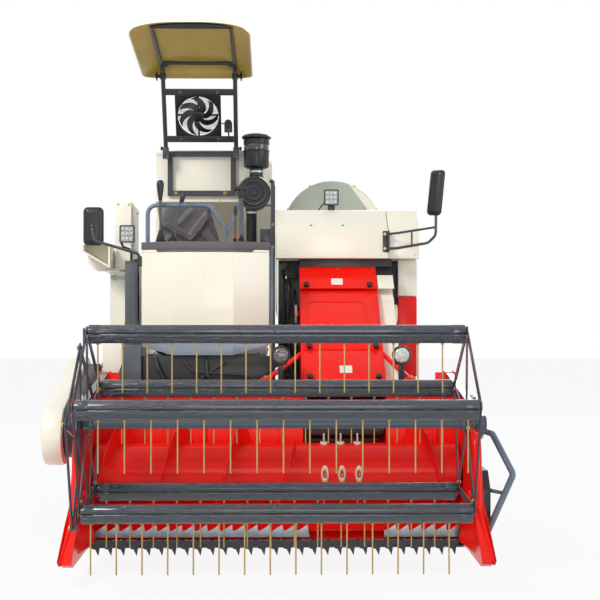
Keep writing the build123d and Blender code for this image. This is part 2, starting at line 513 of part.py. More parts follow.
for x in (POST_LEFT, POST_RIGHT):
    canopy.append(bar((x, POST_FOOT_Y, POST_FOOT_Z), (x, POST_HEAD_Y, POST_HEAD_Z), POST_R))
    canopy.append(bar((x, POST_FOOT_Y, POST_FOOT_Z), (x, frame_y[0] + 10, frame_z[1] - 20), POST_R))
crossbars = (2500, 2800)
for z in crossbars:
    canopy.append(bar((POST_RIGHT, post_y(z), z), (POST_LEFT, post_y(z), z), BAR_R))
roof_lean = (ROOF_FRONT_Z - ROOF_REAR_Z) / (ROOF_FRONT_Y - ROOF_REAR_Y)


def roof_z(y):
    """Height of the roof's side edges at a place along it."""
    return ROOF_REAR_Z + (y - ROOF_REAR_Y) * roof_lean


# The roof is a tray turned upside down, open at its front: a crowned top, rounded shoulders and a rim.
roof_angle = atan2(ROOF_FRONT_Z - ROOF_REAR_Z, ROOF_REAR_Y - ROOF_FRONT_Y)
arc_r = ((ROOF_WIDTH / 2) ** 2 + ROOF_CROWN ** 2) / (2 * ROOF_CROWN)
roof_end = Pos(0, ROOF_SHOULDER + ROOF_CROWN - arc_r) * Circle(arc_r)
roof_end &= RectangleRounded(ROOF_WIDTH, 2 * (ROOF_SHOULDER + ROOF_CROWN), ROOF_SHOULDER)
roof_end &= Pos(0, 500) * Rectangle(ROOF_WIDTH, 1000)
roof_arc = roof_end - Pos(0, -ROOF_THICK) * scale(roof_end, (1 - 2 * ROOF_THICK / ROOF_WIDTH, 1, 1))
roof_length = hypot(ROOF_REAR_Y - ROOF_FRONT_Y, ROOF_FRONT_Z - ROOF_REAR_Z)
roof = along_y(roof_arc, 0, roof_length) + along_y(roof_end, roof_length - ROOF_THICK, roof_length)
roof_place = Pos(ROOF_CENTRE_X, ROOF_FRONT_Y, ROOF_FRONT_Z) * Rot(-degrees(roof_angle), 0, 0)
save("canopy_roof", roof_place * roof)

# Two rails inside the roof run forward from the posts' heads; it rests on them, and two bars join them.
rail_shift = POST_LEFT - ROOF_CENTRE_X
rail_rise = ROOF_SHOULDER + ROOF_CROWN * (1 - (rail_shift / (ROOF_WIDTH / 2)) ** 2) - ROOF_THICK
rail_rise = (rail_rise - BAR_R - 2.5 * SEAT) / cos(roof_angle)
rail_front = (ROOF_FRONT_Y + 90, roof_z(ROOF_FRONT_Y + 90) + rail_rise)
for x in (POST_LEFT, POST_RIGHT):
    canopy.append(bar((x, POST_HEAD_Y, POST_HEAD_Z), (x, *rail_front), BAR_R))
for y in (ROOF_FRONT_Y + 100, ROOF_REAR_Y - 140):
    z = roof_z(y) + rail_rise
    canopy.append(bar((POST_RIGHT, y, z), (POST_LEFT, y, z), BAR_R))

# The fan's square panel fills the space between the two crossbars and leans with the posts.
post_lean = degrees(atan2(POST_FOOT_Y - POST_HEAD_Y, POST_HEAD_Z - POST_FOOT_Z))
fan_z = sum(crossbars) / 2
fan_place = Pos(FAN_X, post_y(fan_z), fan_z) * Rot(post_lean, 0, 0)
panel_half = (crossbars[1] - crossbars[0]) / 2 / cos(radians(post_lean)) - BAR_R - SEAT
MOTOR_R, FAN_SHAFT_R, FAN_HUB_R = 42, 6, 38
panel = block((-150, 150), (-7, 7), (-panel_half, panel_half)) - disc_y((0, 0), FAN_R + 8, -20, 20)
panel += disc_y((0, 0), MOTOR_R, 22, 58) + disc_y((0, 0), FAN_SHAFT_R, -6, 22)
for x in (-145, 135):
    panel += block((x, x + 10), (7, 30), (-6, 6))
panel += block((-145, 145), (22, 30), (-6, 6)) + block((-6, 6), (22, 30), (-panel_half + 6, panel_half - 6))
for z in (-panel_half + 4, panel_half - 14):
    panel += block((-6, 6), (7, 30), (z, z + 10))
save("canopy_frame", sum(canopy[1:], canopy[0]), fan_place * panel)
rotor = disc_y((0, 0), FAN_HUB_R, -14, 14)
for i in range(7):
    blade = Pos(0, 0, (FAN_HUB_R + FAN_R) / 2 - 4) * Rot(0, 0, 28) * Box(34, 3, FAN_R - FAN_HUB_R + 4)
    rotor += Rot(0, 360 / 7 * i, 0) * blade
rotor -= disc_y((0, 0), FAN_SHAFT_R + RUNNING, -6 - SEAT, 20)
save("fan_rotor", fan_place * rotor)

CLEANER_X, CLEANER_Z, CLEANER_R, CLEANER_FRONT, CLEANER_REAR = -155, 2140, 110, 150, 412
BOWL_X, BOWL_Y, BOWL_R, BOWL_LOW, BOWL_TOP = -141, 290, 82, 2310, 2550
cleaner = disc_y((CLEANER_X, CLEANER_Z), CLEANER_R, CLEANER_FRONT, CLEANER_REAR)
cleaner += disc_z((BOWL_X, BOWL_Y), 42, CLEANER_Z, BOWL_LOW)
cleaner += disc_z((BOWL_X, BOWL_Y), BOWL_R, BOWL_LOW, BOWL_TOP)
post_x = (CLEANER_X + CLEANER_R + SEAT, CLEANER_X + CLEANER_R + 30)
HOSE_R = 38
hose = disc_z((CLEANER_X - 20, 340), HOSE_R, HOOD_TOP + SEAT, CLEANER_Z)
hose -= disc_y((CLEANER_X, CLEANER_Z), CLEANER_R + SEAT, CLEANER_FRONT, CLEANER_REAR)
save("air_cleaner", cleaner, hose, block(post_x, (165, 205), (DECK_Z + SEAT, 2220)))

# ================================================================ mirrors and lamps
right_mirror = block((-1140, -1020), (-715, -690), (1740, 1970))
right_mirror += bar((-1080, -692, 1850), (-960, -640, 1720), 9)
right_mirror += bar((-960, -640, 1720), (-800, -560, 1655), 9)
right_mirror += bar((-960, -640, 1715), (-960, -640, 1725), 9)
left_mirror = block((936, 1030), (-322, -296), (1950, 2240))
left_mirror += pipe([(690, -101, 1757), (690, -160, 1757), (985, -302, 1770), (985, -302, 1960)], 9, 30)
left_mirror += pipe([(690, -101, 1850), (690, -150, 1850), (985, -302, 1860)], 8, 30)
left_mirror += block((660, 720), (-112, -100 - SEAT), (1735, 1862))
left_mirror -= block((0, 930), (-100 - SEAT, 100), (1695, 1900))
console_solid = along_z(offset(Polygon(*console_plan, align=None), SEAT, kind=Kind.INTERSECTION),
                        CONSOLE_LOW_Z, CONSOLE_BAND_Z)
save("mirrors", right_mirror - console_solid, left_mirror)
pillar_lamp = block((-975, -882), (-330, -292), (1780, 1890))
pillar_lamp += bar((-925, -130, PILLAR_TOP + SEAT), (-925, -130, 1838), 8)
pillar_lamp += bar((-925, -130, 1830), (-925, -300, 1830), 8)
hood_lamp = block((304, 401), (100, 135), (2050, 2155))
hood_lamp += block((340, 365), (105, 130), (THRESHER_TOP + SEAT, 2060))
save("work_lamps", pillar_lamp, hood_lamp)

# ================================================================ header
floor_low = AUGER_Z - FLIGHT_R - 25
GUARD_BAR_Y, GUARD_REAR_Y, GUARD_TIP_Y = -1500, -1470, -1600
trough_line = [(BACK_Y, HEADER_TOP_Z), (BACK_Y, floor_low + 165), (BACK_Y - 55, floor_low + 50),
               (BACK_Y - 180, floor_low), (GUARD_REAR_Y + 60, floor_low), (GUARD_REAR_Y + SEAT, KNIFE_Z - 14)]
BEAM = 60
trough = along_x(folded(trough_line, TROUGH_SHEET), -HEADER_HALF + SEAT, HEADER_HALF - SEAT)
trough -= block((FEEDER_LOW_X + FEEDER_SHEET, FEEDER_HIGH_X - FEEDER_SHEET), (BACK_Y - 20, BACK_Y + 20),
                (MOUTH_LOW_Z + FEEDER_SHEET, MOUTH_HIGH_Z - FEEDER_SHEET - 20))
inner_ear = (ARM_IN_X - 12, ARM_IN_X - 5)
outer_ear = (ARM_OUT_X + 5, ARM_OUT_X + 12)
trough += block((-inner_ear[1], inner_ear[1]), (BACK_Y - 50, BACK_Y + TROUGH_SHEET),
                (HEADER_TOP_Z, HEADER_TOP_Z + BEAM))
for side in (-1, 1):
    ear_x = sorted((side * inner_ear[0], side * inner_ear[1]))
    ear = block(ear_x, (ARM_PIVOT_Y - 35, ARM_PIVOT_Y + 40), (HEADER_TOP_Z - 5, ARM_PIVOT_Z))
    ear += disc_x((ARM_PIVOT_Y, ARM_PIVOT_Z), 35, *ear_x)
    pin_x = sorted((side * inner_ear[0], side * (outer_ear[1] + 4)))
    trough += ear + disc_x((ARM_PIVOT_Y, ARM_PIVOT_Z), ARM_PIN_R, *pin_x)
for x in (-700, -300, 850):
    trough += block((x, x + 50), (BACK_Y + TROUGH_SHEET - 1, BACK_Y + TROUGH_SHEET + 40),
                    (380, HEADER_TOP_Z))
save("header_trough", trough)

side_outline = [(-850, 200), (-850, HEADER_TOP_Z), (-925, HEADER_TOP_Z), (-940, 745), (-1500, 730),
                (-1600, 690), (-1620, 600), (-1700, 350), (-1950, 120), (-1900, 100), (-1450, 105),
                (-1100, 200)]
CYL_X, CYL_FOOT_Y, CYL_FOOT_Z, CYL_HEAD_Y = HEADER_HALF + 26, -960, 805, -1450
CYL_R, CYL_ROD_R, CYL_PIN_R, CYL_EYE_R, CYL_EYE_BORE = 17, 9, 7, 22, 14
cylinder_ears = ((CYL_X - 24, CYL_X - 19), (CYL_X + 19, CYL_X + 24))
sides = []
for side in (-1, 1):
    sheet = along_x(side_outline, *sorted((side * HEADER_HALF, side * (HEADER_HALF + SIDE_THICK))))
    ear_x = sorted((side * outer_ear[0], side * outer_ear[1]))
    sheet += block(ear_x, (ARM_PIVOT_Y - 35, ARM_PIVOT_Y + 40), (HEADER_TOP_Z - 5, ARM_PIVOT_Z))
    sheet += disc_x((ARM_PIVOT_Y, ARM_PIVOT_Z), 35, *ear_x)
    sheet -= disc_x((ARM_PIVOT_Y, ARM_PIVOT_Z), ARM_PIN_R + RUNNING, *ear_x)
    stub_x = sorted((side * (HEADER_HALF - 100), side * (HEADER_HALF + 100)))
    sheet -= disc_x((AUGER_Y, AUGER_Z), STUB_R + RUNNING, *stub_x)
    for ear in cylinder_ears:
        ear_x = sorted((side * ear[0], side * ear[1]))
        sheet += block(ear_x, (CYL_FOOT_Y - 18, CYL_FOOT_Y + 30), (735, CYL_FOOT_Z))
        sheet += disc_x((CYL_FOOT_Y, CYL_FOOT_Z), 18, *ear_x)
    sheet += disc_x((CYL_FOOT_Y, CYL_FOOT_Z), CYL_PIN_R,
                    *sorted((side * cylinder_ears[0][0], side * cylinder_ears[1][1])))
    sides.append(sheet)
save("header_sides", *sides)

# Feeder house: a sheet-metal channel from the trough's opening to the pivot shaft.
mouth_y = BACK_Y + TROUGH_SHEET + SEAT
mouth_z = (MOUTH_LOW_Z + MOUTH_HIGH_Z) / 2


def channel(inset):
    """The feeder's side outline, inset by a wall: the mouth's edge joined to a round rear end."""
    mouth = Pos(mouth_y + 5, mouth_z) * Rectangle(10, MOUTH_HIGH_Z - MOUTH_LOW_Z - 2 * inset)
    return make_hull(mouth.edges() + (Pos(PIVOT_Y, PIVOT_Z) * Circle(FEEDER_R - inset)).edges())


feeder = along_x(channel(0), FEEDER_LOW_X, FEEDER_HIGH_X)
feeder -= along_x(channel(FEEDER_SHEET), FEEDER_LOW_X + FEEDER_SHEET, FEEDER_HIGH_X - FEEDER_SHEET)
room_x = (FEEDER_LOW_X + FEEDER_SHEET, FEEDER_HIGH_X - FEEDER_SHEET)
feeder -= block(room_x, (mouth_y - 5, mouth_y + 20),
                (MOUTH_LOW_Z + FEEDER_SHEET, MOUTH_HIGH_Z - FEEDER_SHEET))
feeder -= block(room_x, (PIVOT_Y + 60, PIVOT_Y + FEEDER_R + 5), (PIVOT_Z - 110, PIVOT_Z + 70))
feeder += disc_x((PIVOT_Y, PIVOT_Z), PIVOT_SHAFT_R, bearing_xs[0] - 4, bearing_xs[1] + BEARING + 4)
# The lift cylinder's upper bracket hangs under the channel's right edge.
for x in (LIFT_X - 40, LIFT_X + 28):
    ear = block((x, x + HANGER), (LIFT_EYE_Y - 34, LIFT_EYE_Y + 34), (LIFT_EYE_Z, LIFT_EYE_Z + 130))
    ear += disc_x((LIFT_EYE_Y, LIFT_EYE_Z), 34, x, x + HANGER)
    feeder += ear - along_x(channel(FEEDER_SHEET), x - 1, x + HANGER + 1)
feeder += disc_x((LIFT_EYE_Y, LIFT_EYE_Z), LIFT_PIN_R, LIFT_X - 40, LIFT_X + 40)
save("feeder_house", feeder)

STRIP_X = (FEEDER_HIGH_X + 4 * SEAT, 735)
strip = make_hull((Pos(PIVOT_Y, PIVOT_Z) * Circle(118)).edges() + (Pos(-790, 745) * Circle(80)).edges())
strip = along_x(strip, *STRIP_X)
strip -= disc_x((PIVOT_Y, PIVOT_Z), PIVOT_SHAFT_R + RUNNING, 600, 760)
save("feeder_strip", strip)

# Two braces tie the feeder to the trough's beam, and two round lamps stand on the beam.
BRACE_R = 15
beam_top = HEADER_TOP_Z + BEAM
braces = bar((FEEDER_LOW_X - SEAT - 2, -600, 1100), (-69, BACK_Y - 20, beam_top - 4), BRACE_R)
braces -= block((FEEDER_LOW_X - SEAT, 400), (-800, -400), (900, 1300))
brace_right = bar((FEEDER_HIGH_X + SEAT + 2, -600, 1100), (764, BACK_Y - 20, beam_top - 4), BRACE_R)
brace_right -= block((200, FEEDER_HIGH_X + SEAT), (-800, -400), (900, 1300))
beam_space = block((-1000, 1000), (BACK_Y - 200, BACK_Y + 200), (HEADER_TOP_Z - 200, beam_top + SEAT))
header_lamps = [braces - beam_space, brace_right - beam_space]
for x in (19, 709):
    lamp = disc_y((x, 1106), 52, BACK_Y - 52, BACK_Y + 4)
    header_lamps.append(lamp + block((x - 15, x + 15), (BACK_Y - 8, BACK_Y + 2), (beam_top + SEAT, 1100)))
save("header_braces", *header_lamps)

# Cutter bar: one bar with pointed guards; the knife slides in their slots.
SLOT, KNIFE_THICK, KNIFE_FIT = 4, 3, 0.5
guard = [(GUARD_TIP_Y, KNIFE_Z - 6), (GUARD_TIP_Y, KNIFE_Z - 2), (-1530, KNIFE_Z + SLOT + 7),
         (-1503, KNIFE_Z + SLOT + 7), (-1503, KNIFE_Z + SLOT), (-1552, KNIFE_Z + SLOT), (-1552, KNIFE_Z),
         (GUARD_REAR_Y, KNIFE_Z), (GUARD_REAR_Y, KNIFE_Z - 22), (-1555, KNIFE_Z - 22)]
cutter = along_x([(GUARD_BAR_Y, KNIFE_Z - 30), (GUARD_BAR_Y, KNIFE_Z - 12), (GUARD_REAR_Y, KNIFE_Z - 12),
                  (GUARD_REAR_Y, KNIFE_Z - 30)], -HEADER_HALF + SEAT, HEADER_HALF - SEAT)
first_guard = -GUARD_PITCH * (GUARDS - 1) / 2
for i in range(GUARDS):
    x = first_guard + i * GUARD_PITCH
    cutter += along_x(guard, x - 11, x + 11)
save("cutter_bar", cutter)

knife_half = HEADER_HALF - KNIFE_STROKE - FREE
teeth = 2 * int(knife_half / GUARD_PITCH)
knife = along_x([(-1497, KNIFE_Z + KNIFE_FIT + KNIFE_THICK), (-1497, KNIFE_Z + 10), (-1477, KNIFE_Z + 10),
                 (-1477, KNIFE_Z + KNIFE_FIT + KNIFE_THICK)], -knife_half, knife_half)
saw = [(-teeth / 2 * GUARD_PITCH, -1478)]
for i in range(teeth):
    x = (i - teeth / 2) * GUARD_PITCH
    saw += [(x, -1500), (x + GUARD_PITCH / 2 - 6, -1548), (x + GUARD_PITCH / 2 + 6, -1548)]
saw += [(teeth / 2 * GUARD_PITCH, -1500), (teeth / 2 * GUARD_PITCH, -1478)]
knife += along_z(saw, KNIFE_Z + KNIFE_FIT, KNIFE_Z + KNIFE_FIT + KNIFE_THICK)
save("knife", knife)

# Covers and the guard rail on the header's ends.
COVER_X = (-HEADER_HALF - 235, -HEADER_HALF - SIDE_THICK - SEAT)
cover_outline = make_hull((Pos(-1390, 700) * Circle(165)).edges() + (Pos(-610, 925) * Circle(165)).edges())
drive_cover = along_x(cover_outline, *COVER_X)
drive_cover -= disc_x((AUGER_Y, AUGER_Z), STUB_R + RUNNING, COVER_X[1] - 20, COVER_X[1] + 20)
save("header_drive_cover", drive_cover)
END_X = HEADER_HALF + SIDE_THICK + SEAT
knife_box_x = (END_X, END_X + 50)
RAIL_R = 17
rail_out, rail_in, elbow_x = END_X + 151, END_X + 18, END_X + 78
rail_points = [(rail_in, -1450, 650), (rail_in, -1560, 720), (rail_out - 21, -1690, 640),
               (rail_out, -1700, 538), (rail_out - 51, -1690, 420), (rail_in + 1, -1660, 215)]
guard_rail = pipe(rail_points, RAIL_R, 35)
guard_rail += bar((rail_out, -1700, 538), (elbow_x, -1560, 538), 10)
guard_rail += bar((elbow_x, -1560, 538), (END_X + 1, -1560, 560), 10)
guard_rail -= block((END_X - 150, END_X), (-2000, -1000), (0, 1000))
guard_rail -= block((END_X - 50, knife_box_x[1] + SEAT), (-1640 - SEAT, -1330 + SEAT),
                    (242 - SEAT, 530 + SEAT))
save("knife_drive_guard", guard_rail, block(knife_box_x, (-1640, -1330), (242, 530)))

# ================================================================ auger
drum_half = HEADER_HALF - FREE
auger = disc_x((AUGER_Y, AUGER_Z), AUGER_DRUM_R, -drum_half, drum_half)
auger += disc_x((AUGER_Y, AUGER_Z), STUB_R, -HEADER_HALF - SIDE_THICK + 4, HEADER_HALF + SIDE_THICK - 4)
FINGER_XS, FINGER_R, BUSH_R, FINGER_REACH = (255, 347, 439), 6, 16, 55
for row in range(4):
    for x in FINGER_XS:
        angle = radians(90 * row)
        way = (cos(angle), sin(angle))
        place = [(x, AUGER_Y + way[0] * r, AUGER_Z + way[1] * r)
                 for r in (100, AUGER_DRUM_R + 8, AUGER_DRUM_R + FINGER_REACH)]
        auger += bar(place[0], place[1], BUSH_R) + bar(place[0], place[2], FINGER_R)


def flight(start_x, first, turns, hand, steps=12):
    """A helical strip of flat facets about the auger's drum, which starts at a first angle in degrees."""
    low = (AUGER_DRUM_R + SEAT) / cos(pi / steps)
    strips = []
    for i in range(round(turns * steps) + 1):
        angle = radians(first) - 2 * pi * i / steps
        x = start_x + hand * FLIGHT_PITCH * i / steps
        ring = []
        for r, dx in ((low, -2.5), (FLIGHT_R, -2.5), (FLIGHT_R, 2.5), (low, 2.5)):
            ring.append(Vector(x + dx, AUGER_Y + r * cos(angle), AUGER_Z + r * sin(angle)))
        strips.append(ring)
    faces = [Face(Wire.make_polygon(strips[0])), Face(Wire.make_polygon(strips[-1]))]
    for a, b in zip(strips, strips[1:]):
        for k in range(4):
            m = (k + 1) % 4
            faces.append(Face(Wire.make_polygon([a[k], a[m], b[m]])))
            faces.append(Face(Wire.make_polygon([a[k], b[m], b[k]])))
    solid = Solid(Shell(faces))
    return solid if solid.volume > 0 else Solid(-Shell(faces))


save("auger", auger, flight(-drum_half + 10, 218, 3.25, 1), flight(drum_half - 10, 310, 0.9, -1))

# ================================================================ reel
def around(centre, radius, degrees_up):
    """The (y, z) place on a circle, counted upwards from straight ahead."""
    angle = radians(degrees_up)
    return (centre[0] - radius * cos(angle), centre[1] + radius * sin(angle))


reel_centre = (REEL_Y, REEL_Z)
ecc_centre = (REEL_Y + ECC_Y, REEL_Z + ECC_Z)
bat_angles = [FIRST_BAT + 360 / BATS * i for i in range(BATS)]
BAT_PIN_R, CRANK_PIN_R, SPIDER, SPOKE = 10, 8, 6, 34
SPIDER_X, CRANK_X, ECC_X = REEL_HALF + 7, REEL_HALF + 21, REEL_HALF + 39


def spider(centre, hub_r, bore_r, pin_r, low, high):
    """A five-armed flat frame with a hub, five spokes, its rim bars and the pins' holes."""
    places = [around(centre, REEL_R, a) for a in bat_angles]
    plate = Pos(*centre) * Circle(hub_r)
    for here, after in zip(places, places[1:] + places[:1]):
        plate += Pos(*here) * Circle(SPOKE / 2 + 6)
        for a, b in ((centre, here), (here, after)):
            middle = ((a[0] + b[0]) / 2, (a[1] + b[1]) / 2)
            turn = degrees(atan2(b[1] - a[1], b[0] - a[0]))
            plate += Pos(*middle) * Rot(0, 0, turn) * Rectangle(hypot(b[0] - a[0], b[1] - a[1]), SPOKE)
    plate -= Pos(*centre) * Circle(bore_r)
    for here in places:
        plate -= Pos(*here) * Circle(pin_r + RUNNING)
    return along_x(plate, low, high)


shaft = disc_x(reel_centre, REEL_SHAFT_R, -ARM_OUT_X - 4, ARM_OUT_X + 4)
end_spiders = [spider(reel_centre, 62, REEL_SHAFT_R + RUNNING, BAT_PIN_R, low, low + SPIDER)
               for low in (-SPIDER_X - SPIDER, SPIDER_X)]
save("reel_rotor", shaft, *end_spiders)
save("eccentric_spider", spider(ecc_centre, ECC_R + 34, ECC_R + RUNNING, CRANK_PIN_R,
                                -ECC_X - SPIDER, -ECC_X))

# The arms swing on the trough's ears; the right one carries the fixed eccentric disc.
arm_outline = make_hull((Pos(ARM_PIVOT_Y, ARM_PIVOT_Z) * Circle(30)).edges()
                        + (Pos(*reel_centre) * Circle(42)).edges())
slope = (REEL_Z - ARM_PIVOT_Z) / (REEL_Y - ARM_PIVOT_Y)
cyl_head_z = ARM_PIVOT_Z + (CYL_HEAD_Y - ARM_PIVOT_Y) * slope
arms = []
for side in (-1, 1):
    arm = along_x(arm_outline, *sorted((side * ARM_IN_X, side * ARM_OUT_X)))
    if side < 0:
        arm += disc_x(ecc_centre, ECC_R, -ARM_IN_X, -ECC_X + 8)
    through = sorted((side * (REEL_HALF + 20), side * (ARM_OUT_X + 10)))
    arm -= disc_x(reel_centre, REEL_SHAFT_R + RUNNING, *through)
    arm -= disc_x((ARM_PIVOT_Y, ARM_PIVOT_Z), ARM_PIN_R + RUNNING, *through)
    arm += disc_x((CYL_HEAD_Y, cyl_head_z), CYL_PIN_R, *sorted((side * ARM_OUT_X, side * (CYL_X + 22))))
    arms.append(arm)
save("reel_arms", *arms)

# A bat: a folded steel section with hanging wire tines, pivot pins at its ends and a crank on the right.
bat_section = [(-32, -24), (-10, 28), (26, 28), (26, -45), (0, -59), (-14, -59)]
tine_step = 2 * (REEL_HALF - 45) / (TINES - 1)
for number, angle in enumerate(bat_angles, 1):
    y, z = around(reel_centre, REEL_R, angle)
    bat = along_x([(y + a, z + b) for a, b in bat_section], -REEL_HALF, REEL_HALF)
    for side in (-1, 1):
        reach = SPIDER_X + SPIDER + 4 if side > 0 else CRANK_X + SPIDER
        bat += disc_x((y, z), BAT_PIN_R, *sorted((side * (REEL_HALF - 10), side * reach)))
    crank = make_hull((Pos(y, z) * Circle(16)).edges() + (Pos(y + ECC_Y, z + ECC_Z) * Circle(14)).edges())
    bat += along_x(crank, -CRANK_X - SPIDER, -CRANK_X)
    bat += disc_x((y + ECC_Y, z + ECC_Z), CRANK_PIN_R, -ECC_X - SPIDER - 3, -CRANK_X)
    for i in range(TINES):
        x = -REEL_HALF + 45 + i * tine_step
        bat += disc_z((x, y + 4), TINE_R, z - TINE_REACH, z - 50)
    save(f"reel_bat_{number}", bat)

# ================================================================ cylinders
def cylinder(foot, head, x, bore_r, rod_r, pin_r, eye_r, eye_bore, eye_half, pull_in):
    """A barrel on its foot pin, and a rod whose eye hangs round the head pin with room for its drift."""
    line = Vector(0, head[0] - foot[0], head[1] - foot[1])
    way = line.normalized()
    base, tip = Vector(x, *foot), Vector(x, *head)
    boss_r = pin_r * 2.2
    mouth = base + way * (line.length - eye_r - pull_in - FREE)
    barrel = bar(base, mouth, bore_r) + disc_x(foot, boss_r, x - eye_half, x + eye_half)
    barrel -= bar(base + way * (boss_r + 8), mouth, rod_r + RUNNING)
    barrel -= disc_x(foot, pin_r + RUNNING, x - 100, x + 100)
    rod = bar(base + way * (boss_r + 14 + pull_in), tip, rod_r)
    rod += disc_x(head, eye_r, x - eye_half + 12, x + eye_half - 12)
    rod -= disc_x(head, eye_bore, x - 100, x + 100)
    return barrel, rod


lift_foot, lift_eye = (LIFT_FOOT_Y, LIFT_FOOT_Z), (LIFT_EYE_Y, LIFT_EYE_Z)
barrel, rod = cylinder(lift_foot, lift_eye, LIFT_X, LIFT_BORE_R, LIFT_ROD_R, LIFT_PIN_R, LIFT_EYE_R,
                       LIFT_EYE_BORE, LIFT_FOOT_HALF, 16)
save("lift_cylinder_barrel", barrel)
save("lift_cylinder_rod", rod)
barrels, rods = [], []
for side in (-1, 1):
    barrel, rod = cylinder((CYL_FOOT_Y, CYL_FOOT_Z), (CYL_HEAD_Y, cyl_head_z), side * CYL_X, CYL_R, CYL_ROD_R,
                           CYL_PIN_R, CYL_EYE_R, CYL_EYE_BORE, CYL_R, 0)
    barrels.append(barrel)
    rods.append(rod)
save("reel_cylinder_barrels", *barrels)
save("reel_cylinder_rods", *rods)
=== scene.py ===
from math import cos, hypot, pi, radians, sin, tan

import bmesh
import bpy
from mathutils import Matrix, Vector


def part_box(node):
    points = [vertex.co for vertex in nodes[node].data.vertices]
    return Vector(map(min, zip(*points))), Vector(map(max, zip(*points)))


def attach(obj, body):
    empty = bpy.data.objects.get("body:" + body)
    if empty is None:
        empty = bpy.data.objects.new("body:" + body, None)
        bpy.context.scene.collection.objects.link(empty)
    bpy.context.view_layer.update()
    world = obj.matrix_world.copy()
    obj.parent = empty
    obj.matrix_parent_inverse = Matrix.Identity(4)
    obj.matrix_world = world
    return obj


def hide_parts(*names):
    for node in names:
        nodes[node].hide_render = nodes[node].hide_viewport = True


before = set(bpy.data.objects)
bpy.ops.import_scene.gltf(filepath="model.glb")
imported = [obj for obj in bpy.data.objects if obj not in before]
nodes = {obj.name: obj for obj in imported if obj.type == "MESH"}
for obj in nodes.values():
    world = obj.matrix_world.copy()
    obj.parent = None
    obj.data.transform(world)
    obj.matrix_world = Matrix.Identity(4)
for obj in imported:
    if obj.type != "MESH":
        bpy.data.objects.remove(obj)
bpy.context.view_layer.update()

# ==================================================================== studio
# A plain pale floor under soft lamps: one broad key lamp high on the machine's right, a weaker fill on
# its left and a strip behind, as for a sales picture of a whole machine.
LEFT, RIGHT, REAR, FRONT = (1, 0, 0), (-1, 0, 0), (0, 1, 0), (0, -1, 0)
UP, DOWN = (0, 0, 1), (0, 0, -1)
scene = bpy.context.scene
scene.view_settings.view_transform = "Standard"


def add(tree, kind, sockets=None, **settings):
    """Adds one node with its settings; each socket gets a value, or the node or output that feeds it, or
    a list of them."""
    node = tree.nodes.new(kind)
    for setting, value in settings.items():
        setattr(node, setting, value)
    for socket, value in (sockets or {}).items():
        for source in value if isinstance(value, list) else [value]:
            if isinstance(source, bpy.types.Node):
                source = source.outputs[0]
            if isinstance(source, bpy.types.NodeSocket):
                tree.links.new(source, node.inputs[socket])
            else:
                node.inputs[socket].default_value = source
    return node


def linear(code):
    """An sRGB hex colour as the linear colour that a socket takes."""
    parts = [int(code[i:i + 2], 16) / 255 for i in (1, 3, 5)]
    return (*[p / 12.92 if p <= 0.04045 else ((p + 0.055) / 1.055) ** 2.4 for p in parts], 1.0)


world = bpy.data.worlds.new("studio_air")
scene.world = world
world.use_nodes = True
world.node_tree.nodes.clear()
ray = add(world.node_tree, "ShaderNodeLightPath").outputs
seen = add(world.node_tree, "ShaderNodeMath", {0: ray["Is Camera Ray"], 1: ray["Is Transmission Ray"]},
           operation="MAXIMUM").outputs[0]
seen = add(world.node_tree, "ShaderNodeMath", {0: seen, 1: ray["Is Glossy Ray"]},
           operation="MAXIMUM").outputs[0]
air = add(world.node_tree, "ShaderNodeBackground", {"Color": linear("#E9EDF2"), "Strength": 0.5})
backdrop = add(world.node_tree, "ShaderNodeBackground", {"Color": (1, 1, 1, 1), "Strength": 1.0})
both = add(world.node_tree, "ShaderNodeMixShader", {0: seen, 1: air, 2: backdrop})
add(world.node_tree, "ShaderNodeOutputWorld", {"Surface": both})

floor_paint = bpy.data.materials.new("matt_studio_floor")
floor_paint.use_nodes = True
floor_tree = floor_paint.node_tree
floor_tree.nodes.clear()
ray = add(floor_tree, "ShaderNodeLightPath").outputs
matt = add(floor_tree, "ShaderNodeBsdfDiffuse", {"Color": linear("#E8E8E6")})
glow = add(floor_tree, "ShaderNodeEmission", {"Color": (1, 1, 1, 1), "Strength": 1.0})
seen = add(floor_tree, "ShaderNodeMath", {0: ray["Is Camera Ray"], 1: ray["Is Glossy Ray"]},
           operation="MAXIMUM")
part_seen = add(floor_tree, "ShaderNodeMath", {0: seen, 1: 0.9}, operation="MULTIPLY")
floor_mix = add(floor_tree, "ShaderNodeMixShader",
                {0: part_seen, 1: matt, 2: glow})
add(floor_tree, "ShaderNodeOutputMaterial", {"Surface": floor_mix})
floor_mesh = bpy.data.meshes.new("studio_floor")
floor_mesh.from_pydata([(-30, -30, -0.002), (30, -30, -0.002), (30, 30, -0.002), (-30, 30, -0.002)], [],
    [(0, 1, 2, 3)])
floor_mesh.materials.append(floor_paint)
studio_floor = bpy.data.objects.new("studio_floor", floor_mesh)
scene.collection.objects.link(studio_floor)

for lamp_name, place, aim, size, watts, tint in (
        ("key_lamp", (-4.5, -6.5, 7.0), (0, -0.5, 1.1), 3.0, 530, "#FFFCF6"),
        ("fill_lamp", (6.5, -5.0, 3.5), (0, -0.5, 1.0), 4.0, 125, "#F6F8F6"),
        ("front_lamp", (0.5, -9.0, 1.2), (0, -1.0, 0.9), 3.0, 80, "#FFFFFF"),
        ("back_strip", (2.0, 7.5, 6.0), (0, 1.0, 1.5), 4.0, 240, "#FFFFFF")):
    lamp = bpy.data.lights.new(lamp_name, "AREA")
    lamp.shape, lamp.size, lamp.energy, lamp.color = "DISK", size, watts, linear(tint)[:3]
    lamp_object = bpy.data.objects.new(lamp_name, lamp)
    lamp_object.location = place
    lamp_object.rotation_euler = (Vector(aim) - Vector(place)).to_track_quat("-Z", "Y").to_euler()
    scene.collection.objects.link(lamp_object)

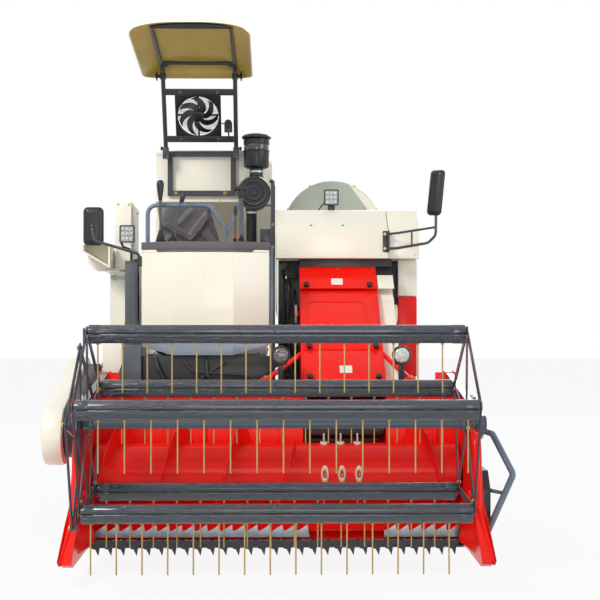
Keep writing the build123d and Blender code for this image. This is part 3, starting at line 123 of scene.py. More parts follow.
# A 74 mm lens at chest height, eight metres in front of the machine.
camera_data = bpy.data.cameras.new("camera")
camera_data.sensor_width, camera_data.lens = 36.0, 74.46
camera = bpy.data.objects.new("camera", camera_data)
camera.location = (0, -8.0, 1.34)
camera.rotation_euler = (radians(90.65), 0, radians(-1.04))
scene.collection.objects.link(camera)
scene.camera = camera

# ==================================================================== main frame
# A ladder of welded square tube carries every unit. It is sprayed with black chassis enamel, and its
# transmission and engine are castings painted dark grey before they are bolted in.


def finish(name, sockets):
    """A material with one Principled shader; returns it with its tree, shader and the piece's own place."""
    material = bpy.data.materials.new(name)
    material.use_nodes = True
    tree = material.node_tree
    tree.nodes.clear()
    shader = add(tree, "ShaderNodeBsdfPrincipled", sockets)
    add(tree, "ShaderNodeOutputMaterial", {"Surface": shader})
    return material, tree, shader, add(tree, "ShaderNodeTexCoord").outputs["Object"]


def feed(tree, shader, **outputs):
    """Links outputs to a shader's sockets, whose names are written with _ for a space."""
    for socket, output in outputs.items():
        tree.links.new(output, shader.inputs[socket.replace("_", " ")])


def enamel(name, colour, shade, chip, roughness=0.3, coat=0.3, worn=0.5, shine=0.5):
    """Baked machine enamel, IOR 1.5, sprayed on steel: soft orange peel 4 mm across, slow changes of
    tone from one panel to the next, and edges rubbed through to what is below."""
    material, tree, shader, place = finish(name, {"Coat Weight": coat, "Coat Roughness": 0.1, "IOR": 1.5,
        "Specular IOR Level": shine})
    cloud = add(tree, "ShaderNodeTexNoise", {"Vector": place, "Scale": 2.1, "Detail": 3.0}).outputs[0]
    tone = add(tree, "ShaderNodeMix", {0: cloud, 6: linear(shade), 7: linear(colour)}, data_type="RGBA")
    rounded = add(tree, "ShaderNodeBevel", {"Radius": 0.0035}, samples=4).outputs[0]
    flat = add(tree, "ShaderNodeNewGeometry").outputs["Normal"]
    turn = add(tree, "ShaderNodeVectorMath", {0: rounded, 1: flat}, operation="DOT_PRODUCT").outputs["Value"]
    edge = add(tree, "ShaderNodeMapRange", {"Value": turn, "From Min": 0.985, "From Max": 0.8})
    spots = add(tree, "ShaderNodeTexNoise", {"Vector": place, "Scale": 60.0, "Detail": 4.0}).outputs[0]
    sparse = add(tree, "ShaderNodeMapRange", {"Value": spots, "From Min": 0.5, "From Max": 0.62,
        "To Max": worn})
    rubbed = add(tree, "ShaderNodeMath", {0: edge, 1: sparse}, operation="MULTIPLY")
    worn_tone = add(tree, "ShaderNodeMix", {0: rubbed, 6: tone.outputs[2], 7: linear(chip)},
                    data_type="RGBA")
    haze = add(tree, "ShaderNodeMapRange", {"Value": cloud, "To Min": roughness - 0.06,
        "To Max": roughness + 0.1})
    peel = add(tree, "ShaderNodeTexNoise", {"Vector": place, "Scale": 250.0, "Detail": 1.0}).outputs[0]
    skin = add(tree, "ShaderNodeBump", {"Height": peel, "Normal": rounded, "Strength": 0.06, "Distance": 0.001})
    feed(tree, shader, Base_Color=worn_tone.outputs[2], Roughness=haze.outputs[0], Normal=skin.outputs[0])
    return material


def coat_node(name, material):
    """Gives a carried-over node its finish."""
    nodes[name].data.materials.clear()
    nodes[name].data.materials.append(material)


# Chassis enamel: near black with a bluish sheen, grey where boots and chains rub it.
black_enamel = enamel("black_chassis_enamel", "#1D2024", "#15181B", "#5A5F64", 0.38)
# Painted casting: flat dark grey over rough iron, without a clear coat.
grey_casting = enamel("painted_iron_casting", "#3A3E42", "#2B2E31", "#77736C", 0.55, 0.0)
coat_node("chassis_frame", black_enamel)
for node in ("gearbox", "engine"):
    coat_node(node, grey_casting)


def places_mesh(name, places):
    """Loose points for a tree to set pieces on: each has its position, the way it faces and a second
    way that turns it."""
    mesh = bpy.data.meshes.new(name)
    mesh.from_pydata([p[0] for p in places], [], [])
    for attribute, column in (("way", 1), ("along", 2)):
        layer = mesh.attributes.new(attribute, "FLOAT_VECTOR", "POINT")
        layer.data.foreach_set("vector", [v for p in places for v in p[column]])
    return mesh


def new_tree(name, inputs):
    """An empty geometry tree with a geometry, named inputs for sizes, and a material."""
    tree = bpy.data.node_groups.new(name, "GeometryNodeTree")
    tree.interface.new_socket("Geometry", in_out="INPUT", socket_type="NodeSocketGeometry")
    for title, value in inputs.items():
        kind = "NodeSocketInt" if isinstance(value, int) else "NodeSocketFloat"
        tree.interface.new_socket(title, in_out="INPUT", socket_type=kind).default_value = value
    tree.interface.new_socket("Material", in_out="INPUT", socket_type="NodeSocketMaterial")
    tree.interface.new_socket("Geometry", in_out="OUTPUT", socket_type="NodeSocketGeometry")
    return tree, add(tree, "NodeGroupInput").outputs


def set_out(tree, given, instance, spin=0.0):
    """Ends a tree: one instance on each place, faced and turned, realised and given its material."""
    way = add(tree, "GeometryNodeInputNamedAttribute", {"Name": "way"}, data_type="FLOAT_VECTOR")
    along = add(tree, "GeometryNodeInputNamedAttribute", {"Name": "along"}, data_type="FLOAT_VECTOR")
    faced = add(tree, "FunctionNodeAlignRotationToVector", {"Vector": way}, axis="Z")
    turned_to = add(tree, "FunctionNodeAlignRotationToVector",
                    {"Rotation": faced, "Vector": along}, axis="X", pivot_axis="Z")
    rows = add(tree, "GeometryNodeInstanceOnPoints",
               {"Points": given["Geometry"], "Instance": instance, "Rotation": turned_to})
    if spin:
        turn = add(tree, "FunctionNodeRandomValue", {2: -spin, 3: spin, "Seed": 7}, data_type="FLOAT")
        about = add(tree, "ShaderNodeCombineXYZ", {"Z": turn.outputs[1]})
        rows = add(tree, "GeometryNodeRotateInstances", {"Instances": rows, "Rotation": about})
    real = add(tree, "GeometryNodeRealizeInstances", {"Geometry": rows})
    dressed = add(tree, "GeometryNodeSetMaterial", {"Geometry": real, "Material": given["Material"]})
    add(tree, "NodeGroupOutput", {"Geometry": dressed})


def grow(name, tree, base, material, body, slot=None, **sizes):
    """The plain mesh that a tree makes on a base mesh, as one piece on its body."""
    carrier = bpy.data.objects.new(name + "_base", base)
    scene.collection.objects.link(carrier)
    modifier = carrier.modifiers.new("grown", "NODES")
    modifier.node_group = tree
    wanted = {title.replace("_", " ").title(): value for title, value in sizes.items()}
    wanted["Material"] = material
    for item in tree.interface.items_tree:
        if item.in_out == "INPUT" and item.name in wanted:
            modifier[item.identifier] = wanted[item.name]
    made = bpy.data.meshes.new_from_object(carrier.evaluated_get(bpy.context.evaluated_depsgraph_get()))
    bpy.data.objects.remove(carrier)
    made.name = name
    grown = bpy.data.objects.new(name, made)
    scene.collection.objects.link(grown)
    made.polygons.foreach_set("use_smooth", [True] * len(made.polygons))
    made.set_sharp_from_angle(angle=radians(38))
    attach(grown, body)


# Hexagon head with its washer, for every bolted seam on the machine.
head_tree, given = new_tree("hexagon_heads", {"Width": 0.016, "Height": 0.008})
half = add(head_tree, "ShaderNodeMath", {0: given["Width"], 1: 0.5}, operation="MULTIPLY").outputs[0]
wide = add(head_tree, "ShaderNodeMath", {0: given["Width"], 1: 0.72}, operation="MULTIPLY").outputs[0]
thin = add(head_tree, "ShaderNodeMath", {0: given["Height"], 1: 0.3}, operation="MULTIPLY").outputs[0]
hexagon = add(head_tree, "GeometryNodeMeshCone", {"Vertices": 6, "Radius Top": half, "Radius Bottom": half,
    "Depth": given["Height"]})
washer = add(head_tree, "GeometryNodeMeshCone", {"Vertices": 12, "Radius Top": wide, "Radius Bottom": wide,
    "Depth": thin})
pair = add(head_tree, "GeometryNodeJoinGeometry", {0: [hexagon, washer]})
set_out(head_tree, given, pair.outputs[0], spin=0.5)


def plated_steel(name, colour, shade, roughness, metallic=1.0):
    """Steel with a thin plated or ground skin: metallic, with fine drawn streaks 2 mm apart and soft
    darker patches where oil has dried."""
    material, tree, shader, place = finish(name, {"Metallic": metallic})
    patches = add(tree, "ShaderNodeTexNoise", {"Vector": place, "Scale": 45.0, "Detail": 3.0}).outputs[0]
    tone = add(tree, "ShaderNodeMix", {0: patches, 6: linear(shade), 7: linear(colour)}, data_type="RGBA")
    drawn = add(tree, "ShaderNodeMapping", {"Vector": place, "Scale": (0.05, 1.0, 1.0)}).outputs[0]
    streaks = add(tree, "ShaderNodeTexNoise", {"Vector": drawn, "Scale": 500.0}).outputs[0]
    dull = add(tree, "ShaderNodeMapRange", {"Value": streaks, "To Min": roughness - 0.08,
        "To Max": roughness + 0.12})
    feed(tree, shader, Base_Color=tone.outputs[2], Roughness=dull.outputs[0])
    return material


# Zinc plate: pale yellow bolts that catch the lamps; ground steel: cool bright streaks.
zinc = plated_steel("yellow_zinc_plate", "#CDBE93", "#A28F5C", 0.36)
bright_steel = plated_steel("ground_steel", "#B9BEC4", "#8E949B", 0.3)


def heads(name, places, body, width=0.016, height=0.008, material=zinc):
    """Bolt heads at (x, y, z) places, each with the way it faces."""
    rows = [(p, w, UP if abs(w[2]) < 0.9 else LEFT) for p, w in places]
    grow(name, head_tree, places_mesh(name, rows), material, body, width=width, height=height)


FRAME_Z = 0.69  # the middle of the long tubes
heads("frame_bolts", [((s * x, y, FRAME_Z), (s, 0, 0)) for s, x in ((1, 0.88), (-1, 1.01))
                      for y in (0.19, 0.91, 1.59, 2.17)] +
      [((x, 2.2, FRAME_Z), REAR) for x in (-0.9, -0.5, 0.3, 0.75)], "root", 0.024, 0.012)

# ==================================================================== rubber tracks
# One endless belt of moulded black rubber on steel cords, 450 mm wide, with raised bars of tread set in
# two staggered rows. It runs round a sprocket, an idler and five rollers on each side.


def skin(name, bm, material, body, bevel=0.0, slot=None, stands_for=(), sharp=35):
    """Turns a bmesh into one named piece that rides on a body, with its edges rounded."""
    bmesh.ops.remove_doubles(bm, verts=bm.verts, dist=1e-5)
    bmesh.ops.recalc_face_normals(bm, faces=bm.faces)
    if bevel:
        edges = [e for e in bm.edges if len(e.link_faces) == 2 and e.calc_face_angle() > radians(25)]
        bmesh.ops.bevel(bm, geom=edges, offset=bevel, segments=2, profile=0.6, affect="EDGES",
                        clamp_overlap=True)
    mesh = bpy.data.meshes.new(name)
    bm.to_mesh(mesh)
    bm.free()
    mesh.materials.append(material)
    mesh.polygons.foreach_set("use_smooth", [True] * len(mesh.polygons))
    mesh.set_sharp_from_angle(angle=radians(sharp))
    made = bpy.data.objects.new(name, mesh)
    scene.collection.objects.link(made)
    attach(made, body)
    if stands_for:
        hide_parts(*stands_for)
    return made


def moulded(name, sockets, patches, shade, colour, dull=None, grain=None, bump=None, stretch=None):
    """A surface without metal in it: patches, a texture's kind and values, lead its tone from shade to
    colour and its roughness over dull; grain, cells of that scale, or else the patches, stand up by bump."""
    material, tree, shader, place = finish(name, sockets)
    if stretch:
        place = add(tree, "ShaderNodeMapping", {"Vector": place, "Scale": stretch}).outputs[0]
    soft = add(tree, "ShaderNodeTex" + patches[0], {"Vector": place, **patches[1]}).outputs[0]
    tone = add(tree, "ShaderNodeMix", {0: soft, 6: linear(shade), 7: linear(colour)}, data_type="RGBA")
    feed(tree, shader, Base_Color=tone.outputs[2])
    if dull:
        haze = add(tree, "ShaderNodeMapRange", {"Value": soft, "To Min": dull[0], "To Max": dull[1]})
        feed(tree, shader, Roughness=haze.outputs[0])
    if bump:
        cells = add(tree, "ShaderNodeTexVoronoi", {"Vector": place, "Scale": grain}) if grain else soft
        raised = add(tree, "ShaderNodeBump", {"Height": cells, "Strength": bump[0], "Distance": bump[1]})
        feed(tree, shader, Normal=raised.outputs[0])
    return material


# Rubber: dull and black, greyed by dust in soft patches, with fine pores that break the light.
rubber = moulded("moulded_black_rubber", {"IOR": 1.5}, ("Noise", {"Scale": 14.0, "Detail": 5.0}),
                 "#141414", "#2C2A27", (0.55, 0.85), 400.0, (0.25, 0.0006))

# One bar of tread: a low block with sloping sides.
bar_tree, given = new_tree("tread_bars", {"Length": 0.2, "Width": 0.05, "Height": 0.02})
block_bar = add(bar_tree, "GeometryNodeMeshCone", {"Vertices": 4, "Radius Top": 0.55, "Radius Bottom": 0.7071,
    "Depth": 1.0})
square = add(bar_tree, "GeometryNodeTransform", {"Geometry": block_bar, "Rotation": (0, 0, pi / 4)})
bar_size = add(bar_tree, "ShaderNodeCombineXYZ", {"X": given["Length"], "Y": given["Width"],
    "Z": given["Height"]})
sized = add(bar_tree, "GeometryNodeTransform", {"Geometry": square, "Scale": bar_size})
set_out(bar_tree, given, sized.outputs[0])


def bars(name, places, material, body, slot, length, width, height):
    """Low bars on places: each has its position, the way out of its sheet and the way along it."""
    grow(name, bar_tree, places_mesh("bar_places", places), material, body, slot, length=length, width=width,
         height=height)


def join_rings(bm, rings, closed=False, capped=False):
    """Faces between neighbouring rings of vertices; closed joins the last ring to the first, capped
    fills the first and the last."""
    for a, b in zip(rings, rings[1:] + (rings[:1] if closed else [])):
        for k in range(len(a)):
            bm.faces.new((a[k - 1], a[k], b[k], b[k - 1]))
    for ring in (rings[0], rings[-1]) if capped else ():
        bm.faces.new(ring)


belt_wheels = ((-0.110, 0.400, 0.185), (1.700, 0.290, 0.205), (0.250, 0.150, 0.105), (1.400, 0.150, 0.105))


def belt_line(grow_by, count):
    """Evenly spaced (y, z) places round the belt's wheels, each with its outward way."""
    rim = sorted((y + (r + grow_by) * cos(2 * pi * i / 180), z + (r + grow_by) * sin(2 * pi * i / 180))
                 for y, z, r in belt_wheels for i in range(180))
    chains = []
    for order in (rim, rim[::-1]):
        chain = []
        for p in order:
            while len(chain) > 1 and ((chain[-1][0] - chain[-2][0]) * (p[1] - chain[-2][1])
                                      - (chain[-1][1] - chain[-2][1]) * (p[0] - chain[-2][0])) <= 0:
                chain.pop()
            chain.append(p)
        chains += chain[:-1]
    loop = chains + chains[:1]
    lengths = [hypot(b[0] - a[0], b[1] - a[1]) for a, b in zip(loop, loop[1:])]
    line, step = [], sum(lengths) / count
    for i in range(count):
        left, k = i * step, 0
        while left > lengths[k]:
            left -= lengths[k]
            k += 1
        a, b, share = loop[k], loop[k + 1], left / lengths[k]
        line.append((a[0] + (b[0] - a[0]) * share, a[1] + (b[1] - a[1]) * share))
    ways = []
    for i in range(count):
        a, b = line[i - 1], line[(i + 1) % count]
        length = hypot(b[0] - a[0], b[1] - a[1])
        ways.append(((b[1] - a[1]) / length, -(b[0] - a[0]) / length))
    return list(zip(line, ways))


TREAD_BARS = 60  # in each of the two rows
TRACKS = {"left": 0.490, "right": -0.660}  # the middle of each belt
for side, x in TRACKS.items():
    band = bmesh.new()
    section = ((-0.225, 0.001), (-0.225, 0.018), (-0.215, 0.024), (0.215, 0.024), (0.225, 0.018),
               (0.225, 0.001))
    rings = [[band.verts.new((x + dx, y + wy * up, z + wz * up)) for dx, up in section]
             for (y, z), (wy, wz) in belt_line(0.0, 240)]
    join_rings(band, rings, closed=True)
    skin(f"track_belt_{side}", band, rubber, "root", slot="track_rubber", stands_for=(f"track_{side}",))
    rows = [(1 - 2 * (i % 2), *place) for i, place in enumerate(belt_line(0.0188, 2 * TREAD_BARS))]
    bars(f"track_tread_{side}", [((x + 0.108 * s, y, z), (0, wy, wz), (1, -0.12 * s, 0))
        for s, (y, z), (wy, wz) in rows], rubber, "root", "track_rubber", 0.225, 0.052, 0.022)

# ==================================================================== track wheels and their frames
# Pressed steel wheels turn on greased axles between red plates. The plates are welded to a box beam on
# each side, and a large nut closes every axle.

# Red enamel: clean, saturated and softly glossy; wheel enamel: dull dark grey that hides its dirt.
red_enamel = enamel("bright_red_enamel", "#FB2011", "#EE150C", "#8E1A12", 0.3, 0.12, 0.35, 0.22)
wheel_enamel = enamel("dark_wheel_enamel", "#2E3338", "#23272B", "#6F6A62", 0.45)
coat_node("track_wheels", wheel_enamel)
coat_node("track_frames", red_enamel)
axle_places = [(-0.110, 0.400), (1.700, 0.290)] + [(0.250 + 0.2875 * i, 0.150) for i in range(5)]
heads("axle_nuts", [((x + s * 0.088, y, z), (s, 0, 0)) for x in TRACKS.values() for s in (-1, 1)
                    for y, z in axle_places], "root", 0.034, 0.02)

# ==================================================================== threshing unit
# Folded steel sheet, 2 mm thick, bolted to a frame of angle and sprayed cream; pressed ribs stiffen the
# wide sheets. Its round cover and its service door are hinged and open for cleaning.


def arc(centre, radius, start, step, count):
    """Points round a centre on a flat outline, from a start angle by equal steps in degrees."""
    turns = [radians(start + step * i) for i in range(count)]
    return [(centre[0] + radius * cos(a), centre[1] + radius * sin(a)) for a in turns]


def brick(bm, x, y, z):
    """A box from three (low, high) pairs."""
    c = [bm.verts.new((x[i], y[j], z[k])) for i in (0, 1) for j in (0, 1) for k in (0, 1)]
    for face in ((0, 1, 3, 2), (4, 6, 7, 5), (0, 4, 5, 1), (2, 3, 7, 6), (0, 2, 6, 4), (1, 5, 7, 3)):
        bm.faces.new([c[i] for i in face])
    return bm


def slab(bm, outline, axis, low, high):
    """A flat outline carried along one axis; the outline's two numbers are the other axes in order."""
    def put(p, t):
        return {"x": (t, *p), "y": (p[0], t, p[1]), "z": (*p, t)}[axis]
    rings = [[bm.verts.new(put(p, t)) for p in outline] for t in (low, high)]
    for ring in rings:
        bm.faces.new(ring)
    join_rings(bm, rings)
    return bm


def rounded(width, height, radius, steps=4):
    """A rectangle's outline about its middle, with round corners."""
    line = []
    for i, (sx, sy) in enumerate(((1, 1), (-1, 1), (-1, -1), (1, -1))):
        for k in range(steps + 1):
            turn = pi / 2 * (i + k / steps)
            line.append((sx * (width / 2 - radius) + radius * cos(turn),
                         sy * (height / 2 - radius) + radius * sin(turn)))
    return line


def sheet_on(bm, place, across, up, outline, low, high, hole=None):
    """A plate on a sloping face: its outline lies across and up from a place, its thickness goes along
    the face's normal, and a hole with as many corners makes it a rim."""
    place, across, up = Vector(place), Vector(across).normalized(), Vector(up).normalized()
    out = across.cross(up)
    rings = [[bm.verts.new(place + across * a + up * b + out * t) for a, b in line]
             for line in ((outline, hole) if hole else (outline,)) for t in (low, high)]
    for i, j in ((0, 1), (3, 2), (1, 3), (2, 0)) if hole else ((0, 1),):
        join_rings(bm, [rings[i], rings[j]], capped=not hole)
    return bm


# Cream enamel: warm white with a broad soft gloss; sheet black: a thin coat without shine.
cream_enamel = enamel("cream_machine_enamel", "#F4F0E0", "#F1ECDC", "#8B8577", 0.28, 0.4, 0.3)
sheet_black = enamel("black_sheet_enamel", "#17191C", "#0F1113", "#4A4D51", 0.42, 0.15)
for node in ("thresher_body", "thresher_cover", "thresher_side_door", "straw_hood"):
    coat_node(node, cream_enamel)

WALL_X = 0.905
side_plates = ((0.325, 1.235, 0.270, 0.86), (1.905, 1.190, 0.700, 0.82), (1.225, 1.785, 2.060, 0.34))
plates = bmesh.new()
for y, z, w, h in side_plates:
    sheet_on(plates, (WALL_X, y, z), REAR, UP, rounded(w, h, 0.035), 0.0, 0.007)
for y, z, w, h in side_plates:
    sheet_on(plates, (WALL_X + 0.007, y, z), REAR, UP, rounded(w - 0.07, h - 0.07, 0.03),
             0.0, 0.005, rounded(w - 0.10, h - 0.10, 0.02))
skin("thresher_side_plates", plates, cream_enamel, "root", 0.0015, "cream_paint")
heads("thresher_side_bolts", [((WALL_X + 0.007, y + sy * (w / 2 - 0.018), z + sz * (h / 2 - 0.018)), LEFT)
    for y, z, w, h in side_plates for sy in (-1, -0.34, 0.34, 1) for sz in (-1, 1)], "root", 0.014, 0.006)
bars("thresher_ribs", [((WALL_X + 0.010, 1.905, z), LEFT, REAR) for z in (0.93, 1.06, 1.19, 1.32, 1.45)],
     cream_enamel, "root", "cream_paint", 0.52, 0.05, 0.012)
bars("thresher_right_ribs", [((-0.001, y, 1.62), RIGHT, UP) for y in (0.30, 0.42, 0.54, 0.66, 0.78)],
     cream_enamel, "root", "cream_paint", 0.62, 0.05, 0.012)

# The service door has a pressed rim, a row of louvres and two black turn handles.
DOOR_FACE, DOOR_Y = 0.925, 1.01
skin("side_door_rim", sheet_on(bmesh.new(), (DOOR_FACE, DOOR_Y, 1.17), REAR, UP, rounded(0.90, 0.62, 0.05), 0.0,
    0.009, rounded(0.84, 0.56, 0.035)), cream_enamel, "side_door", 0.002, "cream_paint")
bars("side_door_louvres", [((DOOR_FACE + 0.008, DOOR_Y + dy, 1.33 - 0.045 * i), LEFT, REAR) for i in range(8)
    for dy in (-0.19, 0.19)], cream_enamel, "side_door", "cream_paint", 0.30, 0.026, 0.016)
# Black plastic: a soft gloss over a fine leather grain, with a thin film of dust.
black_moulding = moulded("moulded_black_plastic", {"IOR": 1.49, "Coat Weight": 0.0},
    ("Noise", {"Scale": 9.0, "Detail": 4.0}), "#0C0E11", "#1A1C20", (0.26, 0.42), 700.0, (0.15, 0.0004))


def turned(bm, profile, centre, way, steps=28, closed=False):
    """A profile of (radius, distance) pairs turned about the line that leaves centre along way."""
    way = Vector(way).normalized()
    side = way.orthogonal().normalized()
    up = way.cross(side)
    rings = []
    spokes = [side * cos(2 * pi * k / steps) + up * sin(2 * pi * k / steps) for k in range(steps)]
    for radius, reach in profile:
        middle = Vector(centre) + way * reach
        rings.append([bm.verts.new(middle + spoke * radius) for spoke in spokes] if radius > 1e-6
                     else [bm.verts.new(middle)])
    pairs = list(zip(rings, rings[1:])) + ([(rings[-1], rings[0])] if closed else [])
    for a, b in pairs:
        for k in range(steps):
            m = (k + 1) % steps
            if len(a) == 1:
                bm.faces.new((a[0], b[k], b[m]))
            elif len(b) == 1:
                bm.faces.new((a[k], a[m], b[0]))
            else:
                bm.faces.new((a[k], a[m], b[m], b[k]))
    for ring in (() if closed else (rings[0], rings[-1])):
        if len(ring) > 1:
            bm.faces.new(ring)
    return bm


handles = bmesh.new()
for z in (0.93, 1.41):
    turned(handles, ((0.022, 0.0), (0.022, 0.010), (0.014, 0.014), (0.014, 0.026), (0, 0.026)),
           (DOOR_FACE, 1.45, z), LEFT)
    brick(handles, (DOOR_FACE + 0.014, DOOR_FACE + 0.026), (1.435, 1.465), (z - 0.05, z + 0.05))
skin("side_door_handles", handles, black_moulding, "side_door", 0.002, "black_plastic")

# Half hoops stiffen the drum's cover.
DRUM_X, DRUM_Z = DRUM = (0.380, 1.927)
HOOPS = (0.615, 1.02, 1.425, 1.83, 2.235)
hoops = bmesh.new()
for y in HOOPS:
    slab(hoops, arc(DRUM, 0.337, 18, 6, 25) + arc(DRUM, 0.3305, 162, -6, 25), "y", y - 0.018, y + 0.018)
skin("cover_hoops", hoops, cream_enamel, "thresher_cover", 0.001, "cream_paint")
heads("cover_bolts", [((DRUM_X + 0.338 * cos(a), y, DRUM_Z + 0.338 * sin(a)), (cos(a), 0, sin(a)))
    for y in HOOPS for a in (0.42, 1.1, 2.04, 2.72)], "thresher_cover", 0.015, 0.006)

# The cover's front end is a pressed cream plate with folded corners. Its dull grey-green is painted shadow:
# the canopy's shadow on the cream plate, spread over the whole plate beside the glossy cream.
cover_end_painted_shade = enamel("cream_in_painted_shadow", "#B7C0B2", "#A9B3A5", "#7B7F78", 0.45, 0.1, 0.3)
low_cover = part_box("thresher_cover")[0][1]
skin("cover_end_plate", slab(bmesh.new(), arc(DRUM, 0.3335, 168, -7, 15) + [(0.618, 2.075), (0.640, 1.950),
    (0.060, 1.950)], "y", low_cover - 0.012, low_cover - 0.0003), cover_end_painted_shade, "thresher_cover", 0.003)

# Ribs and a black rubber curtain on the hood that lets the straw fall behind the machine.
bars("straw_hood_ribs", [((x, 2.476, 1.50), REAR, UP) for x in (0.16, 0.31, 0.46, 0.61, 0.76)] +
     [((0.851, 2.385, 1.50), LEFT, UP), ((0.059, 2.385, 1.50), RIGHT, UP)],
     cream_enamel, "root", "cream_paint", 0.86, 0.045, 0.012)
curtain = bmesh.new()
for i in range(9):
    x = 0.075 + i * 0.085
    brick(curtain, (x, x + 0.08), (2.452 + 0.003 * (i % 2), 2.457 + 0.003 * (i % 2)), (0.72, 1.00))
skin("straw_curtain", curtain, rubber, "root", 0.001)
heads("straw_hood_bolts", [((x, 2.470, z), REAR) for x in (0.08, 0.24, 0.39, 0.54, 0.69, 0.83)
    for z in (0.975, 2.0)], "root", 0.015, 0.006)

# A black sheet closes the front between the deck and the feeder's top.
front_sheet = bmesh.new()
brick(front_sheet, (0.006, 0.786), (0.140, 0.1495), (0.735, 1.69))
for x in (0.03, 0.755):
    brick(front_sheet, (x, x + 0.012), (0.130, 0.141), (0.76, 1.66))
skin("thresher_front_sheet", front_sheet, sheet_black, "root", 0.0015, "black_paint")
heads("thresher_front_bolts", [((x, 0.140, z), FRONT) for x in (0.06, 0.70) for z in (0.80, 1.02, 1.24, 1.58)],
      "root", 0.014, 0.006)

# ==================================================================== front hood
# The sheet nose over the feeder's end: one cream pressing with broad soft folds, held by small screws,
# and a corner panel beside the feeder in two parts.
hood_side = [(-0.100, 1.695), (0.1497, 1.695), (0.1497, 2.020), (0.100, 2.020), (-0.100, 1.866)]
hood = bmesh.new()
slab(hood, hood_side, "x", -0.010, 0.707)
slab(hood, [(y + 0.034, z) if y < 0 else (y, z) for y, z in hood_side], "x", 0.710, 0.908)
brick(hood, (0.787, 0.911), (0.095, 0.1497), (1.458, 1.6945))
skin("front_hood_shell", hood, cream_enamel, "root", 0.007, "cream_paint", ("front_hood",))
skin("front_corner_panel", brick(bmesh.new(), (0.787, 0.911), (0.095, 0.1497), (0.930, 1.455)), red_enamel,
     "root", 0.006, "red_paint")
slope_way = Vector((0, -0.154, 0.200)).normalized()
heads("hood_screws", [((x, -0.045, 1.909), slope_way) for x in (0.215, 0.420)] +
      [((x, y, 1.720), FRONT) for x, y in ((0.03, -0.100), (0.665, -0.100), (0.880, -0.066))],
      "root", 0.013, 0.005, bright_steel)

# ==================================================================== feeder
# A sheet-metal channel that carries the crop up to the drum: bright red enamel outside, with lids that
# black hand knobs hold down, two plain riveted plates, and a white cover over its drive chain.
coat_node("feeder_house", red_enamel)
MOUTH = Vector((0, -0.884, 0.900))
UP_FEEDER = Vector((0, cos(radians(40.1)), sin(radians(40.1))))
OUT_FEEDER = Vector(LEFT).cross(UP_FEEDER)


def on_feeder(x, up, out=0.0):
    """A place on the channel's sloping top: distance up from the mouth, and out from the sheet."""
    return MOUTH + Vector((x, 0, 0)) + UP_FEEDER * up + OUT_FEEDER * out


lids = bmesh.new()
for low, high in ((0.075, 0.335), (0.350, 0.840)):
    sheet_on(lids, on_feeder(0.385, (low + high) / 2), LEFT, UP_FEEDER, rounded(0.468, high - low, 0.012),
             0.0005, 0.006)
sheet_on(lids, on_feeder(0.365, 0.660, 0.006), LEFT, UP_FEEDER, rounded(0.370, 0.290, 0.035), 0.0, 0.004,
         rounded(0.345, 0.265, 0.025))
skin("feeder_lids", lids, red_enamel, "header", 0.0022, "red_paint")
knobs = bmesh.new()
knob_profile = ((0.006, 0.0), (0.006, 0.006), (0.017, 0.009), (0.019, 0.016), (0.017, 0.024), (0.010, 0.028),
                (0, 0.029))
for up in (0.100, 0.365):
    for x in (0.189, 0.587):
        turned(knobs, knob_profile, on_feeder(x, up, 0.006), OUT_FEEDER, 20)
skin("feeder_knobs", knobs, black_moulding, "header", 0.0, "black_plastic", sharp=50)
# Blank plate: smooth off-white film that stays clean and glossy beside the enamel.
pale_plate = moulded("printed_vinyl_left_blank", {"IOR": 1.45}, ("Noise", {"Scale": 30.0, "Detail": 3.0}),
    "#E9E6DC", "#F4F2EA", (0.25, 0.4))

top_slope = Vector((0, 0.175, 0.144)).normalized()
top_out = Vector(LEFT).cross(top_slope)
top_low = Vector((0, -0.190, 1.497))
FOLD = [(-0.190, 1.497), (-0.015, 1.641), (-0.015, 1.6947), (-0.023, 1.6947), (-0.023, 1.6448),
        (-0.1951, 1.5032)]
# The fold's upturn and the top of the cream plate are black: painted shade, the hood's shadow on red and cream
# sheet.
for name, outline, coat, low, high in (("red_plate", FOLD[:2] + FOLD[4:], red_enamel, 0.140, 0.630),
        ("upturn_painted_shade", FOLD[1:5], sheet_black, 0.140, 0.735),
        ("cream_plate", [FOLD[0], (-0.0865, 1.5822), (-0.0916, 1.5884), FOLD[5]], cream_enamel, 0.634, 0.735),
        ("fold_painted_shade", [(-0.0865, 1.5822), FOLD[1], FOLD[4], (-0.0916, 1.5884)], sheet_black, 0.634, 0.735)):
    skin(f"feeder_{name}", slab(bmesh.new(), outline, "x", low, high), coat, "root", 0.001,
         stands_for=("feeder_top_plates",))
heads("feeder_fold_screws", [(top_low + top_slope * 0.205 + Vector((x, 0, 0)) + top_out * 0.008, top_out)
    for x in (0.170, 0.385, 0.600)], "root", 0.012, 0.004, bright_steel)
for name, place, way, body in (("low", on_feeder(0.400, 0.175, 0.0065), UP_FEEDER, "header"),
        ("top", top_low + top_slope * 0.066 + Vector((0.377, 0, 0)) + top_out * 0.0085, top_slope, "root")):
    skin(f"feeder_blank_plate_{name}", sheet_on(bmesh.new(), place, LEFT, way, rounded(0.072, 0.062, 0.004),
        0.0, 0.0012), pale_plate, body, 0.0, "cream_paint")
top_knobs = bmesh.new()
for x in (0.181, 0.581):
    turned(top_knobs, knob_profile, top_low + top_slope * 0.020 + Vector((x, 0, 0)) + top_out * 0.008, top_out,
           20)
skin("feeder_top_knobs", top_knobs, black_moulding, "root", 0.0, "black_plastic", sharp=50)
strip_cover = bmesh.new()
slab(strip_cover, arc((-0.110, 1.340), 0.118, -42, 7.5, 23) + arc((-0.790, 0.745), 0.080, 135, 7.5, 25), "x",
     0.6312, 0.735)
slab(strip_cover, [(-0.1877, 1.4288), (-0.1012, 1.5045), (-0.098, 1.5005), (-0.180, 1.425)], "x", 0.634, 0.732)
skin("feeder_strip_cover", strip_cover, cream_enamel, "header", 0.004, "cream_paint", ("feeder_strip",))
